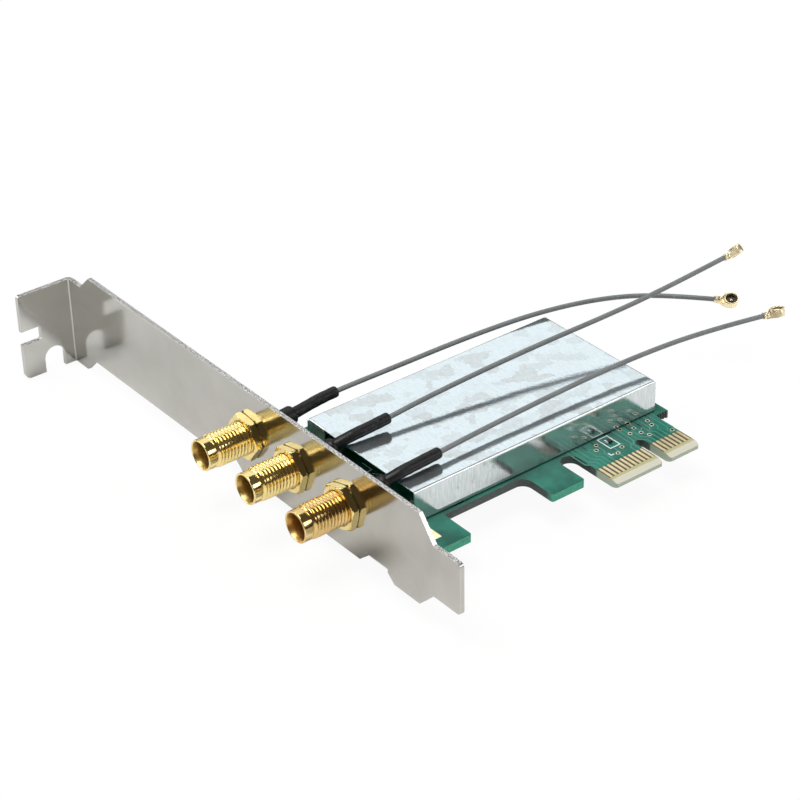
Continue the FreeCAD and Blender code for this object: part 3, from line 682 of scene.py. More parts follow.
FINISHES = {
    "bracket": BracketFinish(),
    "shield": ShieldFinish(),
    "board": BoardFinish(),
    "gold": MetalFinish("jack_gold", (0.89, 0.73, 0.34), (0.80, 0.63, 0.25), (1.0, 0.90, 0.58), (0.08, 0.16),
                        grain_depth_mm=0.0006, edge_mm=0.05),
    "thread": MetalFinish("thread_gold", (0.89, 0.73, 0.34), (0.81, 0.64, 0.26), (1.0, 0.90, 0.58), (0.15, 0.22),
                          grain_depth_mm=0.0004, edge_mm=0.0),
    # Bore golds: darker, rougher copies of the jack golds; the darkening is painted shade inside the bore.
    "bore": MetalFinish("bore_gold_painted_shade", (0.64, 0.48, 0.19), (0.54, 0.39, 0.14), (0.93, 0.80, 0.48), (0.30, 0.44), 1.2),
    "brown": MetalFinish("brown_gold", (0.75, 0.56, 0.25), (0.66, 0.46, 0.18), (0.98, 0.83, 0.50), (0.08, 0.16),
                         grain_depth_mm=0.0006, edge_mm=0.05),
    "brown_thread": MetalFinish("brown_thread", (0.75, 0.55, 0.24), (0.65, 0.45, 0.17), (0.98, 0.83, 0.50),
                                (0.15, 0.22), grain_depth_mm=0.0004, edge_mm=0.0),
    "brown_bore_painted_shade": MetalFinish("brown_bore_painted_shade", (0.66, 0.45, 0.17), (0.56, 0.36, 0.12), (0.93, 0.76, 0.42),
                              (0.30, 0.44), 1.2),
    # Finger gold: its worn colour is a dark brown that darkens each finger's edges, so the dark gaps between the
    # fingers look wider.
    "finger": MetalFinish("finger_gold", (0.74, 0.63, 0.39), (0.64, 0.52, 0.30), (0.30, 0.20, 0.08), (0.26, 0.40),
                          0.8, edge_mm=0.05, edge_share=0.6),
    "pin": MetalFinish("contact_gold", (0.93, 0.80, 0.52), (0.84, 0.69, 0.41), (0.99, 0.93, 0.78), (0.22, 0.38),
                       0.8, edge_share=0.3),
    "plug": MetalFinish("plug_gold", (0.93, 0.84, 0.60), (0.84, 0.72, 0.46), (1.0, 0.96, 0.82), (0.36, 0.48),
                        0.9, grain_depth_mm=0.0006, edge_mm=0.0),
    "rivet": MetalFinish("rivet_nickel", (0.62, 0.61, 0.58), (0.52, 0.51, 0.48), (0.85, 0.85, 0.83), (0.20, 0.35)),
    "tin": MetalFinish("standoff_tin", (0.66, 0.66, 0.65), (0.55, 0.55, 0.54), (0.85, 0.85, 0.84), (0.28, 0.45)),
    "sleeve": PlasticFinish("sleeve_black", (0.0075, 0.0075, 0.009), (0.005, 0.005, 0.006), (0.03, 0.03, 0.033),
                            (0.34, 0.50), 2.0, 0.35, 0.012, shine=0.32, dust=0.6),
    "lead": PlasticFinish("lead_grey", (0.188, 0.203, 0.208), (0.158, 0.170, 0.175), (0.3, 0.3, 0.3),
                          (0.36, 0.50), 3.0, 0.25, edge_share=0.0),
    "socket": PlasticFinish("socket_ivory", (0.62, 0.57, 0.42), (0.55, 0.50, 0.36), (0.78, 0.74, 0.62),
                            (0.45, 0.60)),
    "black": PlasticFinish("package_black", (0.016, 0.016, 0.017), (0.011, 0.011, 0.012), (0.08, 0.08, 0.08),
                           (0.42, 0.58)),
    "capacitor": PlasticFinish("capacitor_brown", (0.30, 0.21, 0.14), (0.24, 0.16, 0.11), (0.55, 0.50, 0.45),
                               (0.35, 0.50)),
    "resistor": PlasticFinish("resistor_dark", (0.022, 0.022, 0.026), (0.015, 0.015, 0.018), (0.30, 0.30, 0.29),
                              (0.30, 0.45), shine=0.2),
    "cap": MetalFinish("chip_cap_tin", (0.90, 0.90, 0.89), (0.76, 0.76, 0.75), (0.95, 0.95, 0.94), (0.30, 0.45),
                       0.5),
    "white": PlasticFinish("insulator_white", (0.80, 0.78, 0.72), (0.72, 0.70, 0.63), (0.9, 0.9, 0.86),
                           (0.30, 0.45)),
    "core": PlasticFinish("plug_core_dark", (0.045, 0.036, 0.024), (0.03, 0.024, 0.016), (0.12, 0.10, 0.07),
                          (0.35, 0.5)),
    "ring": MetalFinish("via_ring", (0.98, 0.93, 0.76), (0.90, 0.83, 0.62), (1.0, 0.97, 0.88), (0.35, 0.50), 0.4),
    # Near-black well cap of the plated holes: painted shade standing in for the depth of the hole.
    "hole": PlasticFinish("via_hole_painted_shade", (0.003, 0.004, 0.0035), (0.002, 0.003, 0.002), (0.005, 0.005, 0.005),
                          (0.8, 0.9), 0.3, shine=0.0),
    "trace": PlasticFinish("trace_green", (0.050, 0.265, 0.205), (0.040, 0.225, 0.172), (0.05, 0.30, 0.21),
                           (0.16, 0.24), shine=0.16),
    "print": PlasticFinish("board_print", (0.76, 0.92, 0.89), (0.70, 0.86, 0.83), (0.84, 0.94, 0.92),
                           (0.45, 0.6), 0.5),
}
DRESS = {
    "bracket": "bracket", "bracket_rivets": "rivet", "circuit_board": "board", "mounting_pads": "pin",
    "edge_contacts": "finger", "shield_cover": "shield", "mini_card_socket": "socket", "socket_contacts": "pin",
    "module_standoffs": "tin", "voltage_regulator": "black", "ceramic_capacitors": "capacitor",
    "chip_resistors": "resistor", "jack_nuts": "gold", "antenna_jack": "gold", "jack_insulator": "white",
    "jack_centre_pin": "pin", "crimp_ferrule": "gold", "heat_shrink": "sleeve", "antenna_lead": "lead",
    "lead_plug": "plug", "plug_insulator": "core", "plug_contact": "pin",
}
JACK_FINISHES = (("gold", "bore", "thread"), ("gold", "bore", "thread"), ("brown", "brown_bore_painted_shade", "brown_thread"))


class Finishes:
    """All materials of the card, built once."""

    def __init__(self) -> None:
        """Builds every material."""
        self.made = {key: finish.material() for key, finish in FINISHES.items()}

    def __getitem__(self, key: str) -> bpy.types.Material:
        """Gives the material with that short name in FINISHES."""
        return self.made[key]

    def dress_solids(self) -> None:
        """Gives each card solid its material, by its own name or by its name without a number."""
        for name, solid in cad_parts.items():
            finish = self[DRESS.get(name) or DRESS[name.rsplit("_", 1)[0]]]
            if not solid.material_slots:
                solid.data.materials.append(finish)
            for material_slot in solid.material_slots:
                material_slot.material = finish


@dataclass(frozen=True)
class CameraView:
    """The photograph's viewpoint, solved from the bracket's and the board's corners."""

    place: Point = (0.296329, -0.222794, 0.241429)
    turn_deg: Point = (57.7569, 0.9806, 51.6820)
    lens_mm: float = 106.263
    sensor_mm: float = 36.0
    pixels: int = 800

    def build(self) -> bpy.types.Object:
        """Adds the camera and makes it the scene's own.

        Returns:
            The camera object.
        """
        data = bpy.data.cameras.new("photo_camera")
        data.lens = self.lens_mm
        data.sensor_width = self.sensor_mm
        camera = linked("photo_camera", data)
        camera.location = self.place
        camera.rotation_euler = tuple(math.radians(v) for v in self.turn_deg)
        scene = bpy.context.scene
        scene.camera = camera
        scene.render.resolution_x = self.pixels
        scene.render.resolution_y = self.pixels
        return camera


@dataclass(frozen=True)
class LeadRoute:
    """One aerial lead: the points it bends round, and where its sleeve narrows and ends."""

    number: int
    points: tuple[Point, ...]
    shoulder_y: float
    sleeve_end_y: float
    length_mm: float
    plug_face: Point


LEAD_START_Y = 2.86
JACK_Z = 9.21
SLEEVE_PHASE = 2.1
ROUTES = (
    LeadRoute(1, ((60.90, LEAD_START_Y, JACK_Z), (60.90, 5.40, JACK_Z), (60.80, 10.30, 9.65), (60.75, 17.50, 10.60),
                  (61.60, 31.00, 11.00), (62.50, 50.00, 11.40), (64.20, 66.00, 11.50), (68.00, 79.50, 11.30),
                  (73.60, 88.90, 10.90), (80.60, 96.10, 10.30)), 10.00, 19.50, 98.3, (0.35, -0.25, 0.90)),
    LeadRoute(2, ((74.50, LEAD_START_Y, JACK_Z), (74.50, 5.40, JACK_Z), (76.30, 9.30, 12.00), (76.50, 17.30, 12.40),
                  (76.50, 30.50, 13.50), (77.60, 52.00, 15.00), (80.00, 72.00, 16.70), (80.80, 85.00, 17.90),
                  (80.75, 98.00, 18.80)), 8.30, 19.40, 96.5, (-0.75, -0.20, 0.62)),
    LeadRoute(3, ((89.15, LEAD_START_Y, JACK_Z), (89.15, 5.40, JACK_Z), (90.80, 9.30, 12.00), (90.60, 17.20, 12.20),
                  (90.00, 30.00, 12.50), (89.70, 50.00, 12.95), (90.10, 66.00, 13.30), (92.00, 82.00, 13.60),
                  (94.50, 95.10, 13.10)), 8.30, 19.60, 93.5, (-0.35, -0.30, 0.89)),
)


@dataclass(frozen=True)
class LeadSizes:
    """Sizes shared by the three leads and their sleeves."""

    diameter: float = 0.95
    wide_r: float = 1.85
    tight_r: float = 1.07
    shoulder_len: float = 0.80
    shoulder_gap: float = 0.05
    mouth_gap: float = 0.30
    lip_len: float = 0.16
    lip_drop: float = 0.10
    lip_run: float = 0.35
    hug: float = 0.01
    taper: float = 0.06
    mouth_drop: float = 0.08
    ripple: float = 0.022
    wide_waves: float = 9.0
    tight_waves: tuple[float, float] = (2.3, 0.9)
    tight_phase: float = 1.0
    wide_start: float = 0.03
    tight_start: float = 0.1
    wide_rows: int = 16
    shoulder_rows: int = 10
    tight_rows: int = 60
    line_steps: int = 16
    round_steps: int = 6
    sides: int = 40


@dataclass
class AerialLead:
    """One grey lead on its route and the black sleeve on its first stretch."""

    route: LeadRoute
    sizes: LeadSizes
    curve: bpy.types.Object | None = None

    def build(self, finish: bpy.types.Material) -> bpy.types.Object:
        """Makes the lead as a smooth spline round the route's points.

        Args:
            finish: the jacket's material.

        Returns:
            The curve object.
        """
        data = bpy.data.curves.new("lead_%d" % self.route.number, "CURVE")
        data.dimensions = "3D"
        data.resolution_u = self.sizes.line_steps
        data.bevel_depth = self.sizes.diameter / 2 * MM
        data.bevel_resolution = self.sizes.round_steps
        data.use_fill_caps = True
        spline = data.splines.new("NURBS")
        spline.points.add(len(self.route.points) - 1)
        for point, at in zip(spline.points, placed(self.route.points)):
            point.co = (*at, 1.0)
        spline.order_u = 3
        spline.use_endpoint_u = True
        data.materials.append(finish)
        self.curve = linked(data.name, data)
        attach(self.curve, "root")
        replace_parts(self.curve, "antenna_lead_%d" % self.route.number)
        return self.curve

    def line(self) -> np.ndarray:
        """Reads points along the lead's own spline.

        Returns:
            Array of points in metres, from the jack to the plug.
        """
        bare = self.curve.data.copy()
        bare.bevel_depth = 0.0
        helper = bpy.data.objects.new("line_helper", bare)
        mesh = bpy.data.meshes.new_from_object(helper)
        flat = np.empty(len(mesh.vertices) * 3)
        mesh.vertices.foreach_get("co", flat)
        bpy.data.objects.remove(helper)
        bpy.data.meshes.remove(mesh)
        bpy.data.curves.remove(bare)
        return flat.reshape(-1, 3)

    def sleeve_rows(self, shoulder: float, end: float) -> np.ndarray:
        """Works out the sleeve's radius along the lead.

        The wide part keeps its radius up to a shoulder, a quarter of an ellipse that drops to the
        tight part. The tight part ripples slightly and closes on the lead in a small lip.

        Args:
            shoulder: way along the lead to the shoulder's end, in millimetres.
            end: way along the lead to the sleeve's end.

        Returns:
            Array of (way, radius) rows.
        """
        sizes, phase = self.sizes, SLEEVE_PHASE * self.route.number
        fine, coarse = sizes.tight_waves
        lead_r = sizes.diameter / 2
        top = sizes.wide_r - sizes.taper
        drop = top - sizes.tight_r - sizes.shoulder_gap
        share = np.linspace(sizes.wide_start, 1.0, sizes.wide_rows)
        ripple = sizes.ripple * np.sin(share * sizes.wide_waves + phase) * (1 - share)
        wide = np.stack([share * (shoulder - sizes.shoulder_len), sizes.wide_r - sizes.taper * share + ripple], axis=1)
        turn = np.linspace(0.0, math.pi / 2, sizes.shoulder_rows)[1:]
        fall = np.stack([shoulder - sizes.shoulder_len * (1 - np.sin(turn)), top - drop * (1 - np.cos(turn))], axis=1)
        way = np.linspace(shoulder + sizes.tight_start, end, sizes.tight_rows)
        ripple = sizes.ripple * np.sin(way * fine + phase) * np.sin(way * coarse + sizes.tight_phase)
        blend = sizes.shoulder_gap * np.maximum(0.0, 1 - (way - shoulder) / sizes.shoulder_len) ** 2
        lip = sizes.lip_drop * np.maximum(0.0, 1 - (end - way) / sizes.lip_run) ** 2
        tight = np.stack([way, sizes.tight_r + ripple + blend - lip], axis=1)
        mouth = ((0.0, lead_r + sizes.mouth_gap), (0.0, sizes.wide_r - sizes.mouth_drop))
        foot = ((end, lead_r + sizes.hug), (end - sizes.lip_len, lead_r + sizes.hug))
        return np.concatenate([mouth, wide, fall, tight, foot])

    def sleeve(self, finish: bpy.types.Material) -> bpy.types.Object:
        """Makes the shrunk sleeve round the lead's own line.

        It is the tube P(s, a) = line(s) + r(s) (cos a n(s) + sin a b(s)), with r from sleeve_rows().

        Args:
            finish: the sleeve's material.

        Returns:
            The sleeve object.
        """
        line = self.line()
        y = line[:, 1] / MM - CARD_SHIFT[1]
        run = np.concatenate([[0.0], np.cumsum(np.linalg.norm(np.diff(line, axis=0), axis=1))]) / MM
        rows = self.sleeve_rows(float(np.interp(self.route.shoulder_y, y, run)),
                                float(np.interp(self.route.sleeve_end_y, y, run)))
        way, radius = rows[:, 0], rows[:, 1] * MM
        middle = np.stack([np.interp(way, run, line[:, k]) for k in range(3)], axis=1)
        slopes = np.gradient(line, run, axis=0)
        tangents = np.stack([np.interp(way, run, slopes[:, k]) for k in range(3)], axis=1)
        tangents /= np.linalg.norm(tangents, axis=1, keepdims=True)
        side = np.cross(tangents, (0.0, 0.0, 1.0))
        side /= np.linalg.norm(side, axis=1, keepdims=True)
        up = np.cross(side, tangents)
        angles = np.linspace(0.0, 2 * math.pi, self.sizes.sides, endpoint=False)
        rings = middle[:, None] + radius[:, None, None] * (
            np.cos(angles)[None, :, None] * side[:, None] + np.sin(angles)[None, :, None] * up[:, None])
        shape = Shape()
        shape.grid(rings, wrap_v=True, caps=True)
        piece = shape.build("sleeve_%d" % self.route.number, [finish], "sleeve_plastic", sharp_deg=50.0)
        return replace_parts(piece, "heat_shrink_%d" % self.route.number)


@dataclass(frozen=True)
class PlugSizes:
    """Sizes of the small press-on plug, in its own frame: X along the lead, Z to its mouth."""

    ring_along: float = 3.30
    ring_rows: tuple[tuple[float, float], ...] = (
        (-0.68, 0.02), (-0.68, 1.24), (-0.64, 1.33), (-0.54, 1.36), (0.50, 1.36), (0.58, 1.31), (0.68, 1.31),
        (0.76, 1.36), (0.87, 1.36), (0.92, 1.31), (0.92, 1.20), (0.86, 1.16), (0.68, 1.12), (0.58, 1.12),
        (0.50, 1.16), (-0.52, 1.16), (-0.52, 0.02))
    floor: float = -0.68
    plate_t: float = 0.16
    crimp_r: float = 0.66
    sheet: float = 0.13
    wings: tuple[Point, ...] = ((0.0, 0.50, 150.0), (0.66, 1.20, 138.0))
    wing_roll: float = 0.06
    wing_swell: float = 0.03
    wing_steps: int = 26
    cheeks: tuple[Point, ...] = ((0.45, 0.42, 0.02), (1.10, 0.45, 0.10), (1.45, 0.72, 0.62), (2.3208, 1.30, 1.40),
                                 (3.30, 1.274, 1.33))
    sides: int = 40


class LeadPlug:
    """The stamped gold plug on a lead's end."""

    def __init__(self, lead: AerialLead, sizes: PlugSizes) -> None:
        """Works out the plug's own axes from the lead's last run and its facing.

        Args:
            lead: the lead that carries the plug.
            sizes: the plug's sizes.
        """
        self.sizes = sizes
        self.number = lead.route.number
        ends = np.array(lead.route.points[-2:])
        along = (ends[1] - ends[0]) / np.linalg.norm(ends[1] - ends[0])
        face = np.array(lead.route.plug_face)
        up = face - along * face.dot(along)
        up /= np.linalg.norm(up)
        self.axes = np.stack([along, np.cross(up, along), up])
        self.at = ends[1]

    def out(self, local: np.ndarray) -> np.ndarray:
        """Moves points of the plug's own frame, in millimetres, into metres of the card's frame."""
        return placed(np.asarray(local) @ self.axes + self.at)

    def build(self, finish: bpy.types.Material) -> bpy.types.Object:
        """Makes the ring, its floor, the folded cheeks and the two pairs of crimped wings.

        The ring is turned from ring_rows: a rolled lip and a snap groove round its own axis. A wing
        is part of a tube round the lead, from one place to another with the angle it reaches to
        either side. The cheeks are a bent strip of even thickness through places along the lead,
        with the half width and the height at each.

        Args:
            finish: the plug's material.

        Returns:
            The plug object.
        """
        sizes = self.sizes
        shape = Shape()
        ring = turned(np.array(sizes.ring_rows), sizes.sides, sizes.ring_along, 0.0)
        shape.grid(self.out(ring), wrap_v=True, caps=True)
        roll, swell, thick = sizes.wing_roll, sizes.wing_swell, sizes.sheet
        for x0, x1, reach in sizes.wings:
            turns = np.radians(np.linspace(-90 - reach, -90 + reach, sizes.wing_steps))
            outer = ((x0, swell), (x0 + roll, 0.0), (x1 - roll, 0.0), (x1, swell))
            round_wall = [(x, sizes.crimp_r + more) for x, more in outer]
            round_wall += [(x, sizes.crimp_r - thick + more) for x, more in reversed(outer)]
            strip = [np.stack([np.full_like(turns, x), r * np.cos(turns), r * np.sin(turns)], axis=-1)
                     for x, r in round_wall]
            shape.grid(self.out(np.stack(strip, axis=1)), wrap_v=True, caps=True)
        low, t = sizes.floor, sizes.plate_t
        section = []
        for x, wide, high in sizes.cheeks:
            half = [(x, wide, low), (x, wide, low + high), (x, wide - t, low + high), (x, wide - t, low + t)]
            section.append(half + [(x, -y, z) for x, y, z in reversed(half)])
        shape.grid(self.out(np.array(section)), wrap_v=True, caps=True)
        piece = shape.build("plug_shell_%d" % self.number, [finish], "plug_metal", sharp_deg=40.0)
        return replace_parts(piece, "lead_plug_%d" % self.number)


class Row(Enum):
    """How the radius of a turned form varies round its axis at one station."""

    ROUND = "round"
    HEX = "hex"


@dataclass(frozen=True)
class JackSizes:
    """Sizes of a threaded aerial jack and its nut."""

    xs: tuple[float, ...] = (60.90, 74.50, 89.15)
    nut_turns: tuple[float, ...] = (-4.7, 12.3, 16.0)
    tip_y: float = -10.40
    thread_r: float = 3.175
    pitch: float = 25.4 / 36
    thread_depth: float = 0.27
    crest_share: float = 0.20
    run_in_slope: float = 1.1
    root_gap: float = 0.02
    root_drop: float = 0.01
    collar_len: float = 1.90
    collar_r: float = 2.98
    groove_r: float = 2.66
    groove_len: float = 0.32
    groove_run: float = 0.12
    run_in: float = 0.06
    bore_r: float = 2.32
    bore_depth: float = 7.20
    mouth_r: float = 2.66
    mouth_len: float = 1.10
    flare: tuple[tuple[float, float], ...] = ((0.7, 0.22), (0.35, 0.60))
    rim: float = 0.12
    rim_inside: tuple[float, float] = (0.5, 0.4)
    rim_outside: tuple[float, float] = (0.4, 0.35)
    hold: float = 0.03
    seat_r: float = 1.60
    cup_r: float = 2.10
    cup_len: float = 2.60
    sheet_t: float = 0.86
    flange_af: float = 8.00
    flange_t: float = 2.00
    flange_turned: float = 0.25
    flange_drops: tuple[float, float] = (0.3, 0.4)
    back_wall: float = 0.50
    exit_r: float = 0.475
    nut_af: float = 8.00
    nut_rows: tuple[tuple[Row, float, float], ...] = (
        (Row.ROUND, -1.33, 3.155), (Row.ROUND, -1.55, 3.395), (Row.HEX, -1.55, 4.024), (Row.HEX, -1.431, 4.313),
        (Row.HEX, -1.295, 4.524), (Row.HEX, -1.176, 4.589), (Row.HEX, -0.374, 4.589), (Row.HEX, -0.221, 4.449),
        (Row.HEX, -0.10, 4.245), (Row.ROUND, -0.10, 3.88), (Row.ROUND, -0.01, 3.88), (Row.ROUND, -0.01, 3.275),
        (Row.ROUND, -0.20, 3.155))
    steps_per_pitch: int = 10
    sides: int = 96


@dataclass(frozen=True)
class AerialJack:
    """One jack body with its thread, and the nut that holds it; number 1 is next to the tab."""

    number: int
    sizes: JackSizes

    @property
    def x(self) -> float:
        """Place of the jack's axis along the bracket."""
        return self.sizes.xs[self.number - 1]

    def surface(self, rows: Sequence[tuple[Row, float, float]], turn_deg: float) -> np.ndarray:
        """Works out a turned form P(t, a) = axis + (r cos a, y, r sin a).

        On a round row r is the row's own. On a hexagon row r is the lesser of the row's own
        and of the hexagon's at that angle.

        Args:
            rows: kind, Y and radius of each station.
            turn_deg: where the hexagon's first corner stands.

        Returns:
            Grid of points in millimetres.
        """
        sizes = self.sizes
        angles = np.radians(turn_deg) + np.linspace(0.0, 2 * math.pi, sizes.sides, endpoint=False)
        sixth = math.pi / 3
        from_flat = np.mod(angles - math.radians(turn_deg), sixth) - sixth / 2
        hexagon = sizes.nut_af / 2 / np.cos(from_flat)
        y, r = (np.array(column)[:, None] for column in list(zip(*rows))[1:])
        hexed = np.array([row[0] is Row.HEX for row in rows])[:, None]
        radius = np.where(hexed, np.minimum(r, hexagon), r + 0.0 * angles)
        return np.stack([self.x + radius * np.cos(angles), y + 0.0 * angles, JACK_Z + radius * np.sin(angles)], axis=-1)

    def thread(self, start: float, end: float) -> np.ndarray:
        """Works out the thread P(t, a) = axis + (r cos a, y, r sin a) with y = y_t + pitch a / 2 pi.

        Each row climbs one pitch per turn, so it keeps its place on the ridge, and its last point
        meets the first one of the row a pitch further on. Y stays between start and end. Radius r
        is the crest radius less the thread's depth times a smooth step of the place on the
        ridge, and no more than a cone that rises from the groove.

        Args:
            start: Y of the thread's first turn.
            end: Y of its last turn.

        Returns:
            Grid of points in millimetres.
        """
        s = self.sizes
        turns = np.linspace(0.0, 1.0, s.sides + 1)
        step = np.arange(-s.steps_per_pitch, int((end - start) / s.pitch * s.steps_per_pitch) + 2)[:, None]
        y = np.clip(start + (step / s.steps_per_pitch + turns) * s.pitch, start, end)
        phase = np.mod((y - start) / s.pitch - turns, 1.0)
        share = np.clip((np.abs(phase - 0.5) * 2 - s.crest_share) / (1 - 2 * s.crest_share), 0.0, 1.0)
        radius = s.thread_r - s.thread_depth * share * share * (3 - 2 * share)
        radius = np.minimum(radius, s.groove_r + s.root_gap + (y - start) * s.run_in_slope)
        angles = 2 * math.pi * turns
        return np.stack([self.x + radius * np.cos(angles), y, JACK_Z + radius * np.sin(angles)], axis=-1)

    @staticmethod
    def rows(kind: Row, *pairs: tuple[float, float]) -> list[tuple[Row, float, float]]:
        """Marks stations, each a Y and a radius, with one kind of row."""
        return [(kind, y, r) for y, r in pairs]

    def body(self, finishes: Sequence[bpy.types.Material]) -> bpy.types.Object:
        """Makes the jack body from its bore floor, over the rim, along the thread to the back.

        Args:
            finishes: the materials of the plating, the bore, darker as painted shade, and the thread.

        Returns:
            The jack object.
        """
        s = self.sizes
        tip, seat, back = s.tip_y, s.tip_y + s.bore_depth, s.sheet_t + s.flange_t
        groove, flare, chamfer = tip + s.collar_len, s.mouth_r - s.bore_r, s.flange_turned
        wide = s.flange_af / 2 / math.cos(math.pi / 6)
        floor_edge = (seat, s.cup_r)
        mouth = (tip + s.rim * s.rim_inside[0], s.mouth_r - s.rim * s.rim_inside[1])
        bore = self.rows(Row.ROUND, floor_edge, (seat, s.bore_r), (tip + s.mouth_len, s.bore_r),
                         *((tip + s.mouth_len * way, s.bore_r + flare * share) for way, share in s.flare), mouth)
        front = self.rows(Row.ROUND, mouth, (tip, s.mouth_r), (tip, s.collar_r - s.rim),
                          (tip + s.rim * s.rim_outside[0], s.collar_r - s.rim * s.rim_outside[1]),
                          (tip + s.rim, s.collar_r), (tip + s.rim + s.hold, s.collar_r),
                          (groove - s.groove_len - s.hold, s.collar_r), (groove - s.groove_len, s.collar_r),
                          (groove - s.groove_run, s.groove_r), (groove + s.run_in, s.groove_r))
        rear = [*self.rows(Row.ROUND, (s.sheet_t, s.thread_r - s.thread_depth - s.root_drop)),
                *self.rows(Row.HEX, (s.sheet_t, wide - s.flange_drops[0]), (s.sheet_t + chamfer, wide),
                           (back - chamfer, wide), (back, wide - s.flange_drops[1])),
                *self.rows(Row.ROUND, (back, s.exit_r), (back - s.back_wall, s.exit_r),
                           (back - s.back_wall, s.seat_r), (seat + s.cup_len, s.seat_r),
                           (seat + s.cup_len, s.cup_r), floor_edge)]
        shape = Shape()
        # The bore and its floor take finish 1, the darker gold painted as shade inside the recess.
        shape.grid(placed(self.surface(bore, 0.0)), wrap_v=True, finish_id=1)
        shape.grid(placed(self.surface(front, 0.0)), wrap_v=True)
        shape.grid(placed(self.thread(groove + s.run_in, s.sheet_t)), finish_id=2)
        shape.grid(placed(self.surface(rear, 0.0)), wrap_v=True)
        piece = shape.build("jack_%d" % self.number, finishes, "gold", sharp_deg=38.0)
        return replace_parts(piece, "antenna_jack_%d" % self.number)

    def nut_grid(self) -> np.ndarray:
        """Works out the nut, a hexagon whose corners are turned off, as a grid closed both ways."""
        return self.surface(self.sizes.nut_rows, self.sizes.nut_turns[self.number - 1])


@dataclass(frozen=True)
class ChipSizes:
    """Places and sizes of one family of chip parts: length along X, width along Y, height."""

    node: str
    slot: str
    places: tuple[tuple[float, float], ...]
    size: Point
    cap_t: float = 0.30
    step: float = 0.03
    round_r: float = 0.07
    corner_points: int = 5
    cap_round: tuple[tuple[float, float], ...] = ((0.0, 0.7), (0.4, 0.2), (1.0, 0.0))


CHIPS = (
    ChipSizes("ceramic_capacitors", "capacitor_ceramic",
              ((69.5, 49.0), (73.0, 49.0), (76.5, 49.0), (86.0, 49.0), (69.5, 22.0), (90.5, 22.0)),
              (2.00, 1.25, 1.10)),
    ChipSizes("chip_resistors", "resistor_ceramic", ((83.0, 24.0), (83.0, 26.5), (83.0, 29.0), (97.7, 53.1)),
              (1.00, 1.60, 0.50)),
)


@dataclass(frozen=True)
class ChipParts:
    """Small ceramic parts with tinned ends, built from rounded sections."""

    sizes: ChipSizes

    def section(self, wide: float, low: float, high: float) -> np.ndarray:
        """Works out a rounded rectangle (c(t), z(t)) across the part.

        Args:
            wide: its full width.
            low: height of its underside.
            high: height of its top.

        Returns:
            Array of points across and up, in millimetres.
        """
        r = self.sizes.round_r
        turns = np.radians(np.arange(4)[:, None] * 90.0 + np.linspace(0.0, 90.0, self.sizes.corner_points))
        across = np.array((1, -1, -1, 1))[:, None] * (wide / 2 - r)
        up = np.array((high - r, high - r, low + r, low + r))[:, None]
        return np.stack([across + r * np.cos(turns), up + r * np.sin(turns)], axis=-1).reshape(-1, 2)

    def build(self, body: bpy.types.Material, cap: bpy.types.Material) -> bpy.types.Object:
        """Makes every part: stations along it, the two end stretches as caps a little wider.

        Each cap's end is rounded by cap_round: shares of the rounding's radius, along and inward.

        Args:
            body: the ceramic's material.
            cap: the tinned ends' material.

        Returns:
            The parts as one object.
        """
        sizes = self.sizes
        length, width, height = sizes.size
        along_x = length >= width
        long_side, short_side = max(length, width), min(length, width)
        half, r, t = long_side / 2, sizes.round_r, sizes.cap_t
        face_z = BoardMarks.face_z
        shape = Shape()
        end = [(-half + r * way, r * drop) for way, drop in sizes.cap_round] + [(-half + t, 0.0)]
        spans = ((1, end), (0, [(-half + t, sizes.step), (half - t, sizes.step)]),
                 (1, [(-run, shrink) for run, shrink in reversed(end)]))
        for x, y in sizes.places:
            for finish_id, stations in spans:
                grid = []
                for run, shrink in stations:
                    flat = self.section(short_side - 2 * shrink, face_z + shrink, face_z + height - shrink)
                    along = np.full(len(flat), run)
                    pair = (along, flat[:, 0]) if along_x else (flat[:, 0], along)
                    grid.append(np.stack([x + pair[0], y + pair[1], flat[:, 1]], axis=-1))
                shape.grid(placed(np.array(grid)), wrap_v=True, finish_id=finish_id, caps=True)
        piece = shape.build(sizes.node + "_detail", [body, cap], sizes.slot)
        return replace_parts(piece, sizes.node)


